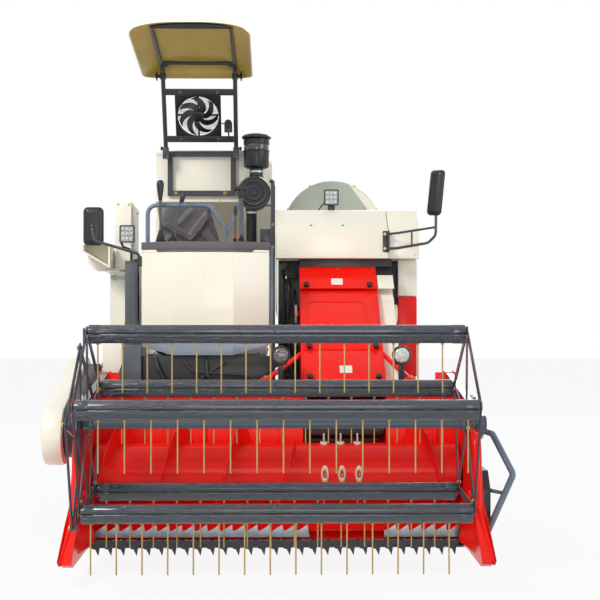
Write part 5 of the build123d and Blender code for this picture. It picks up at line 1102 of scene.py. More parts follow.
# Console top: warm grey plastic, faded in broad patches, with a pebbled grain.
top_grey = moulded("moulded_dark_grey_plastic", {"IOR": 1.49}, ("Noise", {"Scale": 5.0, "Detail": 4.0}),
                   "#55534F", "#66646A", (0.5, 0.68), 420.0, (0.2, 0.0006))
band = bmesh.new()
plan = [(-0.812, -0.481), (-0.812, -0.592), (-0.618, -0.703), (-0.258, -0.703), (-0.048, -0.592),
        (-0.048, -0.481)]
slab(band, plan, "z", BAND_END, CONSOLE_TOP)
skin("console_top_moulding", band, top_grey, "root", 0.006, stands_for=("console_top",))
for name, side in (("middle", 0), ("right", -1), ("left", 1)):
    step = bmesh.new()
    nose_wall(step, BAND_MIDDLE + (0.0 if side else 0.0005), BAND_END - 0.0005, 0.0 if side else 0.003)
    for x, way in ((-0.722, -1), (-0.138, 1)):
        if side in (0, way):
            sign = 1 if side == 0 else -1
            keep_side(step, (x, 0, BAND_END), (way * sign, 0, -0.9 * sign))
    skin(f"console_notch_{name}", step, top_grey if side == 0 else cream_enamel, "root", 0.0015,
         None if side == 0 else "cream_paint")
apron = bmesh.new()
nose_wall(apron, 1.098, 1.1655, -0.003)
for place, way in (((-0.775, 0, 1.098), (-1, 0, -0.9)), ((-0.085, 0, 1.098), (1, 0, -0.9)),
                   ((-0.610, 0, 1.098), (-0.05, 0, -0.21)), ((-0.262, 0, 1.098), (0.05, 0, -0.196))):
    keep_side(apron, place, way)
# Apron enamel: light blue-grey under the cream nose.
apron_grey = enamel("light_blue_grey_enamel", "#8E9DA9", "#7F8F9C", "#5A6268", 0.34, 0.25, 0.4)
skin("console_apron", apron, apron_grey, "root", 0.003, "blue_grey_paint")
inside = bmesh.new()
slab(inside, [(-0.79, -0.55), (-0.79, CONSOLE_BACK), (-0.07, CONSOLE_BACK), (-0.07, -0.55), (-0.26, -0.62),
              (-0.61, -0.62)],
     "z", 1.0505, 1.100)
for x, r in ((-0.70, 0.05), (-0.50, 0.07), (-0.30, 0.05)):
    turned(inside, ((r, 0.0), (r, 0.02), (r * 0.5, 0.03), (0, 0.03)), (x, -0.600, 1.075), FRONT, 16)
skin("console_footing", inside, sheet_black, "root", 0.003)
skin("console_side_angle", slab(bmesh.new(), [(-0.048, -0.49), (-0.026, -0.49), (-0.026, -0.46),
    (-0.048, -0.46)], "z", 1.052, 1.75), blue_grey, "root", 0.002, "blue_grey_paint")

# Hand rail of bent tube, and levers of steel rod with moulded grips.
skin("console_hand_rail", tube(bmesh.new(), bent([(-0.782, -0.512, 1.764), (-0.782, -0.512, 1.996),
    (-0.410, -0.512, 1.996), (-0.322, -0.512, 1.870), (-0.318, -0.512, 1.764)], 0.062, 8), 0.0128, 16),
     blue_grey, "root", 0.0, "blue_grey_paint", ("console_controls",), sharp=50)
rods, grips, boots = bmesh.new(), bmesh.new(), bmesh.new()
FOLDS = 6
GRIP = ((0.0, 0.0), (0.011, 0.002), (0.013, 0.020), (0.020, 0.070), (0.0225, 0.100), (0.018, 0.120),
        (0.0, 0.126))
tube(rods, [(-0.700, -0.560, 1.768), (-0.702, -0.560, 2.030)], 0.007)
turned(grips, GRIP, (-0.702, -0.560, 2.018), UP, 20)
tube(rods, bent([(-0.612, -0.600, 1.768), (-0.600, -0.600, 1.92), (-0.565, -0.600, 2.045)], 0.2), 0.0055)
turned(grips, ((0.0, 0.0), (0.010, 0.001), (0.014, 0.012), (0.015, 0.058), (0.010, 0.066), (0.0, 0.067)),
       (-0.574, -0.600, 2.005), (0.32, 0, 1), 16)
brick(rods, (-0.226, -0.204), (-0.604, -0.598), (1.768, 2.080))
turned(grips, ((0.0, -0.038), (0.012, -0.036), (0.0135, 0.0), (0.012, 0.036), (0.0, 0.038)),
       (-0.222, -0.600, 2.088), LEFT, 16)
turned(grips, ((0.008, -0.050), (0.013, -0.035), (0.013, 0.0), (0, 0.003)), (-0.215, -0.600, 2.080), UP, 14)
tube(rods, [(-0.255, -0.560, 1.768), (-0.252, -0.560, 1.940)], 0.005)
turned(grips, ((0.0, 0.0), (0.008, 0.0), (0.010, 0.030), (0.0085, 0.056), (0.0, 0.060)),
       (-0.252, -0.560, 1.930), UP, 14)
for x, y, r, h in ((-0.700, -0.560, 0.033, 0.075), (-0.612, -0.600, 0.018, 0.03),
                   (-0.215, -0.600, 0.022, 0.045), (-0.255, -0.560, 0.016, 0.025)):
    bellows = [(r, 0.0)]
    for i in range(FOLDS):
        wide = r + (0.009 - r) * (i / FOLDS)
        bellows += [(wide, h * (i + 0.25) / FOLDS), (wide * 0.78, h * (i + 0.75) / FOLDS)]
    turned(boots, bellows + [(0.0075, h)], (x, y, CONSOLE_TOP), UP, 20)
for x, y, w, l in ((-0.46, -0.60, 0.07, 0.04), (-0.36, -0.56, 0.05, 0.05)):
    brick(boots, (x - w / 2, x + w / 2), (y - l / 2, y + l / 2), (CONSOLE_TOP - 0.001, CONSOLE_TOP + 0.008))
skin("lever_rods", rods, arm_grey, "root", 0.0, sharp=50)
skin("lever_grips", grips, black_moulding, "root", 0.0, "black_plastic", sharp=60)
skin("lever_boots", boots, rubber, "root", 0.0, sharp=60)
# Orange knob: one warm spot that the eye finds at once.
orange_knob = enamel("orange_moulded_knob", "#E0561E", "#C8430F", "#A8521F", 0.35, 0.3, 0.1)
skin("stop_knob", turned(bmesh.new(), ((0.005, 0.0), (0.005, 0.018), (0.015, 0.022), (0.017, 0.030),
    (0.013, 0.036), (0, 0.037)), (-0.225, -0.590, CONSOLE_TOP), UP, 20), orange_knob, "root", 0.0, sharp=60)

# ==================================================================== engine hood and seat
# The driver sits on the engine's sheet-metal hood, on a foam cushion and backrest under black vinyl. A
# loose grey cover of coated cloth is pulled over the backrest and hangs in creases.
coat_node("engine_hood", cream_enamel)
heads("engine_hood_bolts", [((x, -0.0805, z), FRONT) for x in (-0.90, -0.52, -0.12) for z in (1.09, 1.42)] +
      [((-0.0695, y, z), LEFT) for y in (0.0, 0.42, 0.85) for z in (1.09, 1.42)], "root", 0.014, 0.006)
bars("engine_hood_louvres", [((x, y, 1.36 - 0.04 * i), way, along)
    for x, y, way, along in ((-0.52, -0.083, FRONT, LEFT), (-0.066, 0.60, LEFT, REAR)) for i in range(6)],
     cream_enamel, "root", "cream_paint", 0.34, 0.022, 0.014)
# Vinyl: black, pressed with a leather grain, duller where it is scuffed.
vinyl = moulded("black_grained_vinyl", {"IOR": 1.5, "Sheen Weight": 0.05},
                ("Noise", {"Scale": 12.0, "Detail": 5.0}), "#17181A", "#2A2B2E", (0.38, 0.55), 320.0,
                (0.35, 0.0008))


def cushion(low, high, thin, crown, pinch, channels=()):
    """A closed pad in a box: thin is the axis of its thickness, crown how far its face swells, pinch how
    far its sides pull in between the corners, channels the sewn lines across it."""
    centre = [(a + b) / 2 for a, b in zip(low, high)]
    half = [(b - a) / 2 for a, b in zip(low, high)]
    u, v = [i for i in range(3) if i != thin]
    bm = bmesh.new()
    bmesh.ops.create_cube(bm, size=2.0)
    bmesh.ops.subdivide_edges(bm, edges=bm.edges[:], cuts=23, use_grid_fill=True)
    for vert in bm.verts:
        p = vert.co.copy()
        a, b, t = p[u], p[v], p[thin]
        swell = (1 - abs(a) ** 4) * (1 - abs(b) ** 4)
        sewn = sum(0.5 * 2.718 ** (-((b - c) / 0.035) ** 2) for c in channels)
        round_off = 1 - 0.22 * (max(abs(a), abs(b)) ** 10)
        out = t * (half[thin] * round_off + (crown * swell * (1 - sewn) if t > 0 else 0))
        side_a = a * (half[u] - pinch * (1 - b * b) - 0.012 * abs(t) ** 6)
        side_b = b * (half[v] - pinch * (1 - a * a) - 0.012 * abs(t) ** 6)
        place = [0, 0, 0]
        place[u], place[v], place[thin] = centre[u] + side_a, centre[v] + side_b, centre[thin] + out
        vert.co = place
    return bm


pad = cushion((-0.745, -0.070, 1.4505), (-0.315, 0.228, 1.545), 2, 0.014, 0.010, (-0.33, 0.33))
seat_pad = skin("seat_pad", pad, vinyl, "root", stands_for=("seat",), sharp=80)
BACK_LOW, BACK_HIGH = 1.555, 2.000
pad = cushion((-0.736, -0.322, BACK_LOW), (-0.324, -0.236, BACK_HIGH), 1, 0.0, 0.010)
for vert in pad.verts:
    rise = (vert.co.z - BACK_LOW) / (BACK_HIGH - BACK_LOW)
    vert.co.x = -0.600 + (vert.co.x + 0.530) * (0.98 - 0.40 * max(rise, 0.0) ** 1.5)
    vert.co.z += 0.018 * max(rise, 0.0)
    vert.co.y = -vert.co.y + 0.006
bmesh.ops.reverse_faces(pad, faces=pad.faces)
seat_back = skin("seat_back", pad, vinyl, "root", sharp=80)
skin("seat_piping", tube(bmesh.new(), bent([(-0.735, -0.060, 1.538), (-0.325, -0.060, 1.538),
    (-0.325, 0.215, 1.538), (-0.735, 0.215, 1.538), (-0.735, -0.060, 1.538)], 0.03), 0.004, 8), vinyl, "root",
     0.0, sharp=80)

# The cover is one cloth 1.20 m wide with two sewn sides, pulled down over the backrest like a sack.

# Coated cloth: dark warm grey, soiled in drifts, with a woven grid and a faint sheen at its folds.
cover_cloth, cloth_tree, cloth_shader, cloth_place = finish("coated_polyester_cloth",
    {"IOR": 1.45, "Sheen Weight": 0.35, "Sheen Roughness": 0.4})
warp = add(cloth_tree, "ShaderNodeTexWave", {"Vector": cloth_place, "Scale": 260.0},
           bands_direction="X").outputs[0]
weft = add(cloth_tree, "ShaderNodeTexWave", {"Vector": cloth_place, "Scale": 260.0},
           bands_direction="Z").outputs[0]
weave = add(cloth_tree, "ShaderNodeMath", {0: warp, 1: weft}, operation="MAXIMUM").outputs[0]
soiled = add(cloth_tree, "ShaderNodeTexNoise", {"Vector": cloth_place, "Scale": 7.0, "Detail": 6.0}).outputs[0]
cloth_tone = add(cloth_tree, "ShaderNodeMix", {0: soiled, 6: linear("#3F3C41"), 7: linear("#605B5E")},
                 data_type="RGBA")
cloth_dull = add(cloth_tree, "ShaderNodeMapRange", {"Value": soiled, "To Min": 0.32, "To Max": 0.5})
cloth_bump = add(cloth_tree, "ShaderNodeBump", {"Height": weave, "Strength": 0.25, "Distance": 0.0005})
feed(cloth_tree, cloth_shader, Base_Color=cloth_tone.outputs[2], Roughness=cloth_dull.outputs[0],
     Normal=cloth_bump.outputs[0])

CREASES = (  # where a fold runs on the front, from (x, z) to (x, z), with its half width and height
    (-0.435, 2.005, -0.585, 1.800, 0.050, 0.030), (-0.760, 1.935, -0.560, 1.825, 0.034, 0.022),
    (-0.655, 1.930, -0.540, 2.045, 0.050, 0.014), (-0.465, 1.975, -0.395, 1.850, 0.028, 0.018),
    (-0.745, 1.990, -0.830, 1.820, 0.034, 0.018), (-0.665, 1.895, -0.740, 1.800, 0.030, 0.016),
    (-0.520, 1.900, -0.440, 1.810, 0.030, 0.016), (-0.720, 1.790, -0.630, 1.600, 0.040, 0.018),
    (-0.560, 1.800, -0.500, 1.600, 0.036, 0.018), (-0.430, 1.800, -0.380, 1.620, 0.034, 0.016))
cloth = bmesh.new()
COVER_WIDE, COVER_UP = 56, 72
HEM_Z, CLOSING = 1.585, 0.93  # its lower hem, and the share of its height where the top draws in
ROUND = [(-1 + 2 * i / COVER_WIDE, -1) for i in range(COVER_WIDE)] + [(1, -1 + i / 4) for i in range(8)]
ROUND += [(1 - 2 * i / COVER_WIDE, 1) for i in range(COVER_WIDE)] + [(-1, 1 - i / 4) for i in range(8)]
rings = []
for j in range(COVER_UP + 1):
    up = j / COVER_UP
    z = HEM_Z + 0.462 * min(up / CLOSING, 1.0)
    close = max(0.0, (up - CLOSING) / (1 - CLOSING))
    wide = 0.236 - 0.094 * max(0.0, (z - 1.70) / 0.347) ** 1.25 - 0.012 * close
    ring = []
    for a, b in ROUND:
        round_off = (abs(a) ** 7 + abs(b) ** 7) ** (-1 / 7)
        a, b = a * round_off, b * round_off
        x = -0.6045 + 0.012 * up + a * wide
        fold = 0.0
        for x0, z0, x1, z1, width, height in CREASES:
            run = hypot(x1 - x0, z1 - z0)
            ux, uz = (x1 - x0) / run, (z1 - z0) / run
            along, off = ((x - x0) * ux + (z - z0) * uz) / run, ((z - z0) * ux - (x - x0) * uz) / width
            if 0.0 < along < 1.0 and abs(off) < 1.0:
                steep = (1 + off) ** 1.4 if off < 0 else (1 - off) ** 3.2
                fold += 1.25 * height * (4 * along * (1 - along)) ** 0.5 * steep
        side = -1 if b < 0 else 1
        y = 0.278 + b * 0.066 * (1 - close ** 2) ** 0.5 * (1 - 0.08 * up)
        flare = 0.010 * (1 - up) ** 3 * (1 + sin(a * 17 + b * 5))
        puff = fold * min(1.0, abs(b) * 1.2) + flare
        droop = 0.007 * close ** 0.5 * (1 - abs(a) ** 3) + 0.004 * sin(9 * a + 1) * up
        ring.append(cloth.verts.new((x + flare * a, y + side * puff * (1 - close), z + droop)))
    rings.append(ring)
join_rings(cloth, rings)
seat_cover = skin("seat_cover", cloth, cover_cloth, "root", slot="cloth", sharp=80)

# ==================================================================== radiator's screens
# A cream sheet-metal box and a hinged door below it filter the cooling air on the machine's right; both
# have woven wire screens, and the door is held shut by a bright steel bolt latch.
coat_node("radiator_screen_door", cream_enamel)
WIRE_PITCH = 0.012
screen_box = bmesh.new()
slab(screen_box, [(0.0, 1.622), (0.420, 1.622), (0.420, 2.042), (0.0, 2.065)], "x", -1.040, -0.940)
brick(screen_box, (-0.948, -0.900), (0.150, 0.420), (1.642, 1.702))
brick(screen_box, (-0.950, -0.900), (0.150, 0.420), (1.4505, 1.702))
skin("screen_box_shell", screen_box, cream_enamel, "root", 0.006, "cream_paint", ("radiator_screen_box",))
for body, x, low_y, high_y, low_z, high_z in (("root", -1.0405, 0.035, 0.385, 1.66, 2.01),
        ("radiator_door", -1.0755, 0.06, 0.72, 0.99, 1.55)):
    screen = bmesh.new()
    middle, size = (x, (low_y + high_y) / 2, (low_z + high_z) / 2), (high_y - low_y, high_z - low_z)
    # A black sheet behind each screen is painted shade for the dark space behind the wires.
    sheet_on(screen, middle, FRONT, UP, rounded(*size, 0.02), 0.0, 0.001)
    skin(f"{body}_screen_painted_shade", screen, sheet_black, body, 0.0)
    skin(f"{body}_screen_rim", sheet_on(bmesh.new(), middle, FRONT, UP,
        rounded(size[0] + 0.03, size[1] + 0.03, 0.03), 0.0, 0.006,
        rounded(size[0] - 0.004, size[1] - 0.004, 0.02)), cream_enamel, body, 0.0015, "cream_paint")
    for base, reach, way, along in (((high_y - low_y), size[1], 0, UP), ((high_z - low_z), size[0], 1, REAR)):
        count = int(base / WIRE_PITCH)
        places = [((x - 0.0015, low_y + base * (i + 0.5) / count, middle[2]) if way == 0
                   else (x - 0.0015, middle[1], low_z + base * (i + 0.5) / count), RIGHT, along)
                  for i in range(count)]
        bars(f"{body}_screen_wires_{way}", places, bright_steel, body, None, reach - 0.006, 0.0022, 0.002)
latch, latch_plate = bmesh.new(), bmesh.new()
tube(latch, [(-1.070, -0.016, 1.572), (-0.960, -0.016, 1.572)], 0.0075)
tube(latch, bent([(-1.040, -0.016, 1.556), (-1.040, -0.020, 1.590), (-1.040, -0.046, 1.592)], 0.01), 0.006)
turned(latch, ((0.013, 0.0), (0.015, 0.010), (0.013, 0.020), (0, 0.020)), (-0.985, -0.016, 1.572), LEFT, 14)
turned(latch, ((0.013, 0.0), (0.013, 0.008)), (-1.064, -0.016, 1.572), LEFT, 14)
brick(latch_plate, (-1.062, -0.985), (-0.006, -0.0002), (1.555, 1.589))
skin("door_latch_bolt", latch, bright_steel, "radiator_door", 0.0, sharp=50)
skin("door_latch_plate", latch_plate, cream_enamel, "radiator_door", 0.001)
heads("screen_box_bolts", [((-0.9395, y, z), LEFT) for y in (0.03, 0.39) for z in (1.65, 2.02)] +
      [((x, -0.0005, z), FRONT) for x in (-1.025, -0.955) for z in (1.64, 2.045)], "root", 0.011, 0.004)

# ==================================================================== grain tank and unloader
# A hopper of ribbed cream sheet over the engine deck; its front neck carries the canopy's frame. A screw
# in a cream tube lifts the grain out and swings round on a flanged riser.
for node in ("grain_tank", "tank_hatch", "unloader_riser"):
    coat_node(node, cream_enamel)
bars("tank_side_ribs", [((x, 1.12 + 0.145 * i, 1.80), way, UP) for i in range(8)
    for x, way in ((-0.876, RIGHT), (-0.044, LEFT))], cream_enamel, "root", "cream_paint", 1.16, 0.055, 0.014)
bars("tank_rear_ribs", [((-0.80 + 0.136 * i, 2.256, 1.80), REAR, UP) for i in range(6)],
     cream_enamel, "root", "cream_paint", 1.16, 0.055, 0.014)
tank_trim = bmesh.new()
for low, high in (((-0.878, 0.996), (-0.042, 2.258)), ((-0.826, 0.414), (-0.224, 1.002))):
    brick(tank_trim, (low[0], high[0]), (low[1], high[1]), (2.418, 2.449))
brick(tank_trim, (-0.828, -0.222), (0.4135, 0.424), (2.098, 2.116))
skin("tank_rim", tank_trim, cream_enamel, "root", 0.004, "cream_paint")
heads("tank_bolts", [((x, 0.4135, 2.107), FRONT) for x in (-0.79, -0.66, -0.39, -0.26)] +
      [((-0.878, y, 2.434), RIGHT) for y in (1.06, 1.34, 1.63, 1.91, 2.19)] +
      [((x, 2.258, 2.434), REAR) for x in (-0.81, -0.56, -0.36, -0.11)], "root", 0.014, 0.006)
HATCH = (-0.5625, 1.55, 2.4622)
hatch = bmesh.new()
sheet_on(hatch, HATCH, LEFT, REAR, rounded(0.48, 0.66, 0.05), 0.0, 0.010, rounded(0.42, 0.60, 0.035))
sheet_on(hatch, HATCH, LEFT, REAR, rounded(0.28, 0.44, 0.05), 0.0, 0.006)
skin("hatch_pressings", hatch, cream_enamel, "tank_hatch", 0.002, "cream_paint")
skin("hatch_handle", tube(bmesh.new(), bent([(-0.810, 1.46, 2.462), (-0.810, 1.46, 2.500),
    (-0.810, 1.64, 2.500), (-0.810, 1.64, 2.462)], 0.02), 0.006), black_moulding, "tank_hatch", 0.0, sharp=50)
PIPE_X, PIPE_Z, RISER_Y = -1.135, 1.700, 2.060  # the unloader's tube and the riser it turns on
COLLAR = ((0.0803, -0.012), (0.0845, -0.010), (0.0845, 0.010), (0.0803, 0.012))
collars, collar_root = bmesh.new(), bmesh.new()
for y in (1.86, 1.25, 0.62, 0.02):
    turned(collars, COLLAR, (PIPE_X, y, PIPE_Z), REAR, 36, closed=True)
for z in (0.80, 1.20):
    turned(collar_root, COLLAR, (PIPE_X, RISER_Y, z), UP, 36, closed=True)
skin("unloader_collars", collars, cream_enamel, "unloader", 0.001, "cream_paint")
skin("riser_collars", collar_root, cream_enamel, "root", 0.001, "cream_paint")
heads("unloader_flange_bolts", [((x, y, 1.562), UP) for x, y in arc((PIPE_X, RISER_Y), 0.089, 15, 60, 6)],
      "unloader", 0.014, 0.008)
# The spout is an open hood of folded sheet; its mouth slopes, so that the grain falls outwards.
spout = bmesh.new()
MOUTH_OUT = [(-1.2225, 1.782), (-1.0475, 1.782), (-1.0475, 1.625), (-1.2225, 1.728)]
MOUTH_IN = [(-1.2125, 1.773), (-1.0600, 1.773), (-1.0600, 1.646), (-1.2125, 1.736)]
sheet_on(spout, (0, -0.042, 0), LEFT, UP, MOUTH_OUT, 0.0, 0.1735, MOUTH_IN)
slab(spout, MOUTH_OUT, "y", -0.060, -0.0425)
tube_body = bmesh.new()
turned(tube_body, ((0.079, 0.0), (0.080, 0.004), (0.080, 1.985), (0.079, 1.989)), (PIPE_X, -0.041, PIPE_Z),
       REAR, 40)
turned(tube_body, ((0.0, 0.0), (0.098, 0.0), (0.098, 0.020), (0.080, 0.021), (0.080, 0.150), (0.0, 0.150)),
       (PIPE_X, RISER_Y, 1.5405), UP, 40)
elbow = ((1.940, PIPE_Z), (1.985, 1.6945), (2.025, 1.676), (2.050, 1.645), (RISER_Y, 1.600))
tube(tube_body, [(PIPE_X, y, z) for y, z in elbow], 0.080, 40)
skin("spout_hood", spout, cream_enamel, "unloader", 0.001, "cream_paint", ("unloader_tube",))
skin("unloader_shell", tube_body, cream_enamel, "unloader", 0.0, "cream_paint", ("unloader_tube",), sharp=40)

# ==================================================================== canopy
# A vacuum-formed sun roof: glossy cream outside, bare khaki glass fibre inside, with rounded shoulders. It
# rests on black tube posts that bolt to the tank's neck, with a cooling fan between them.

# Canopy enamel: dark slate that stays lighter than the shadows behind it.
canopy_black = enamel("canopy_black_enamel", "#2B323A", "#20262D", "#6A6F74", 0.38, 0.2, 0.3)
coat_node("canopy_frame", canopy_black)
# Bare glass fibre: khaki resin over strands that show as long drifts of tone.
glass_fibre = moulded("bare_glass_fibre", {"IOR": 1.5}, ("Noise",
    {"Scale": 4.0, "Detail": 6.0, "Distortion": 1.2}), "#AE8F38", "#D0B862", (0.35, 0.5), bump=(0.3, 0.003))
QUARTER = 1.5707  # a quarter turn in radians
ROOF_FRONT, ROOF_REAR = Vector((-0.521, -0.750, 3.000)), Vector((-0.521, 0.135, 2.883))
ROOF_ALONG = (ROOF_REAR - ROOF_FRONT).normalized()
ROOF_UP = Vector(LEFT).cross(ROOF_ALONG)
ROOF_LONG = (ROOF_REAR - ROOF_FRONT).length


def roof_skin(bm, inset):
    """The tray's skin on one side: a grid that falls to its rims at both sides and at the rear."""
    grid = []
    for j in range(33):
        t = j / 32
        back = max(0.0, (t - 0.86) / 0.14)
        row = []
        for i in range(49):
            s = sin(QUARTER * (-1 + i / 24))
            corner = back * abs(s) ** 6
            front = max(0.0, 1 - t / 0.10) ** 2 * abs(s) ** 8
            high = 0.0846 * (1 - abs(s) ** 3) ** 0.8 * (1 - back ** 2.5) - inset
            x = s * (0.3595 - inset - 0.030 * corner - 0.020 * front)
            y = (min(t / 0.86, 1.0) * (ROOF_LONG - 0.060) + 0.058 * sin(QUARTER * back) - inset * back
                 - 0.028 * corner)
            rise = ROOF_UP * max(high, 0.0012 + 0.05 * inset)
            row.append(bm.verts.new(ROOF_FRONT + Vector((x, 0, 0)) + ROOF_ALONG * (y + 0.001) + rise))
        grid.append(row)
    return grid


def thin_shell(bm, one, two):
    """Two grids of vertices as the two sides of one sheet, closed round all four edges."""
    rims = [(grid[0], grid[-1], [row[0] for row in grid], [row[-1] for row in grid]) for grid in (one, two)]
    for a, b in [pair for grid in (one, two) for pair in zip(grid, grid[1:])] + list(zip(*rims)):
        for k in range(len(a) - 1):
            bm.faces.new((a[k], a[k + 1], b[k + 1], b[k]))


roof = bmesh.new()
outer, inner = roof_skin(roof, 0.0), roof_skin(roof, 0.006)
thin_shell(roof, outer, inner)
inner_rows = {v for row in inner for v in row}
roof.faces.ensure_lookup_table()
lining = [all(v in inner_rows for v in f.verts) for f in roof.faces]
canopy = skin("canopy_shell", roof, cream_enamel, "root", 0.0, "cream_plastic", ("canopy_roof",), sharp=50)
canopy.data.materials.append(glass_fibre)
canopy.data.polygons.foreach_set("material_index", [int(side) for side in lining])
visor = bmesh.new()
brow = []
for i in range(41):
    s = sin(QUARTER * (-1 + i / 20))
    top = 0.0840 * (1 - abs(s) ** 3) ** 0.8
    low = max(top - 0.034 * (1 - abs(s) ** 3), 0.0015)
    brow.append([visor.verts.new(ROOF_FRONT + Vector((s * 0.338, 0, 0)) + ROOF_ALONG * along + ROOF_UP * up)
                 for along, up in ((0.0005, top), (-0.001, low), (0.004, low), (0.006, top - 0.001))])
join_rings(visor, brow, capped=True)
skin("canopy_visor", visor, cream_enamel, "root", 0.0, "cream_plastic", sharp=50)

LEAN = Vector((0, -0.265, 0.530)).normalized()
FAN = Vector((-0.524, 0.210, 2.650))
FACE = Vector(LEFT).cross(LEAN)
plates = bmesh.new()
POSTS, POST_Y, POST_Z, CROSS_BARS = (-0.747, -0.277), 0.330, 2.410, (2.512, 2.800)


def on_posts(x, z, out):
    """A place on the plane of the leaning posts, a distance out from their axes."""
    return Vector((x, POST_Y - 0.5 * (z - POST_Z), z)) + FACE * out


for z in CROSS_BARS:
    sheet_on(plates, on_posts(-0.512, z, 0.0115), LEFT, LEAN, rounded(0.466, 0.044, 0.003), 0.0, 0.004)
for x in POSTS:
    brick(plates, (x - 0.020, x + 0.020), (0.290, 0.340), (2.380, 2.455))
for x, way in ((-0.745, 1), (-0.279, -1)):
    slab(plates, [(x, 2.962), (x + way * 0.075, 2.962), (x, 2.915)], "y", -0.012, -0.008)
rails = bmesh.new()
tube(rails, bent([(-0.747, -0.652, 3.042), (-0.62, -0.656, 3.052), (-0.512, -0.657, 3.056),
                  (-0.40, -0.656, 3.052), (-0.277, -0.652, 3.042)], 0.2), 0.0115, 12)
for x in POSTS:
    tube(rails, [(x, POST_Y, POST_Z), (x, 0.065, 2.940)], 0.0145, 16)
    tube(rails, [(x, 0.060, 2.936), (x, -0.655, 3.043)], 0.0118, 14)
skin("canopy_plates", plates, canopy_black, "root", 0.001, "black_paint")
skin("canopy_tubes", rails, canopy_black, "root", 0.0, "black_paint", sharp=50)
clamps = bmesh.new()
for x, way in zip(POSTS, (-1, 1)):
    turned(clamps, ((0.008, 0.0), (0.008, 0.030), (0.016, 0.034), (0.018, 0.046), (0.0, 0.048)),
           (x, 0.090, 2.890), (way, 0, 0), 14)
    brick(clamps, (x + way * 0.036, x + way * 0.044) if way > 0 else (x - 0.044, x - 0.036), (0.080, 0.100),
          (2.862, 2.918))
    brick(clamps, (x - 0.019, x + 0.019), (0.070, 0.112), (2.872, 2.908))
    turned(clamps, ((0.006, 0.0), (0.006, 0.020), (0.013, 0.024), (0.013, 0.036), (0.0, 0.038)),
           (x, 0.330, 2.452), (way, 0, 0), 14)
skin("canopy_clamps", clamps, black_moulding, "root", 0.001, "black_plastic")
# Brass: small warm dots along the dark frame.
brass = plated_steel("yellow_brass_screw", "#A8905A", "#6F5C34", 0.4)
heads("canopy_screws", [(on_posts(x, z, 0.0155), FACE) for z in CROSS_BARS for x in (-0.640, -0.395)], "root",
      0.013, 0.005, brass)
heads("frame_screws", [((x, 0.3857, 2.157), FRONT) for x in (-0.687, -0.355)], "root", 0.018, 0.006, brass)

# ==================================================================== canopy fan
# An axial fan in a square moulded shroud: seven curved blades on a flat motor, behind a guard of
# concentric wire rings.
FAN_MOUTH, WIRE = 0.137, 0.0011  # radii of the opening and of the guard's wire
skin("fan_shroud", sheet_on(bmesh.new(), FAN, LEFT, LEAN, rounded(0.302, 0.302, 0.012, 9), -0.0075, 0.0095,
    arc((0, 0), FAN_MOUTH, 4.5, 9, 40)), black_moulding, "root", 0.0015, "black_plastic")
guard = bmesh.new()
for i in range(18):
    turned(guard, arc((0.040 + 0.0056 * i, -0.033), WIRE, 0, 90, 4), FAN, FACE, 48, closed=True)
for i in range(8):
    a = pi * i / 8 + 0.2
    way = (Vector((cos(a), 0, 0)) + LEAN * sin(a)) * FAN_MOUTH
    tube(guard, [FAN - FACE * 0.0345 - way, FAN - FACE * 0.0345 + way], WIRE, 6)
skin("fan_guard", guard, bright_steel, "root", 0.0, sharp=60)
blades = bmesh.new()
turned(blades, ((0.0066, 0.011), (0.020, 0.011), (0.034, 0.009), (0.038, 0.004), (0.038, -0.012),
                (0.0066, -0.012)), FAN, FACE, 40, closed=True)
for i in range(7):
    faces = []
    for t in (-0.0012, 0.0012):
        grid = []
        for j in range(11):
            r = 0.034 + 0.096 * j / 10
            sweep = 0.90 * (j / 10) ** 1.4
            wide = 0.016 + 0.009 * sin(pi * j / 10) + 0.008 * j / 10
            grid.append([blades.verts.new(
                FAN + (Vector(LEFT) * cos(2 * pi * i / 7 + sweep + c * wide / r)
                       + LEAN * sin(2 * pi * i / 7 + sweep + c * wide / r)) * r + FACE * (c * 0.008 + t))
                for c in (-1, -0.4, 0.2, 0.8)])
        faces.append(grid)
    thin_shell(blades, *faces)
skin("fan_blades", blades, black_moulding, "fan", 0.0, "black_plastic", ("fan_rotor",), sharp=45)
switch = bmesh.new()
slab(switch, [(-0.352, 2.545), (-0.300, 2.545), (-0.300, 2.606), (-0.308, 2.622), (-0.326, 2.630),
              (-0.344, 2.622), (-0.352, 2.606)], "y", 0.205, 0.235)
turned(switch, ((0.009, 0.0), (0.009, 0.010), (0.005, 0.014), (0, 0.014)), (-0.326, 0.206, 2.585), FRONT, 14)
tube(switch, bent([(-0.352, 0.222, 2.600), (-0.380, 0.215, 2.606), (-0.392, 0.212, 2.590)], 0.01), 0.004, 8)
tube(switch, [(-0.326, 0.225, 2.545), (-0.322, 0.262, 2.512)], 0.005, 8)
skin("fan_switch", switch, black_moulding, "root", 0.002, "black_plastic")

# ==================================================================== air cleaner
# A round moulded filter housing with a clamped cap, fed by a bowl-type pre-cleaner with a clear band and
# drained by a corrugated rubber hose; all on a bent steel post.
CLEANER, BOWL = Vector((-0.155, 0, 2.140)), (-0.141, 0.290)
HOSE, HOSE_LOW, RIDGE = (-0.175, 0.330), 1.500, 0.0135  # its axis, its lower end, one corrugation
housing = bmesh.new()
rings = [(0.0, 0.0), (0.020, 0.0), (0.024, 0.004), (0.030, 0.004), (0.034, 0.0), (0.052, 0.0), (0.056, 0.006),
         (0.064, 0.006), (0.068, 0.0), (0.086, 0.001), (0.092, 0.008), (0.106, 0.010), (0.1095, 0.020),
         (0.1095, 0.075), (0.104, 0.082), (0.104, 0.245), (0.090, 0.262), (0.0, 0.262)]
turned(housing, rings, (CLEANER.x, 0.1505, CLEANER.z), REAR, 48)
turned(housing, ((0.050, 0.0), (0.050, 0.034), (0.046, 0.040), (0.046, 0.092)), (*BOWL, 2.225), UP, 28)
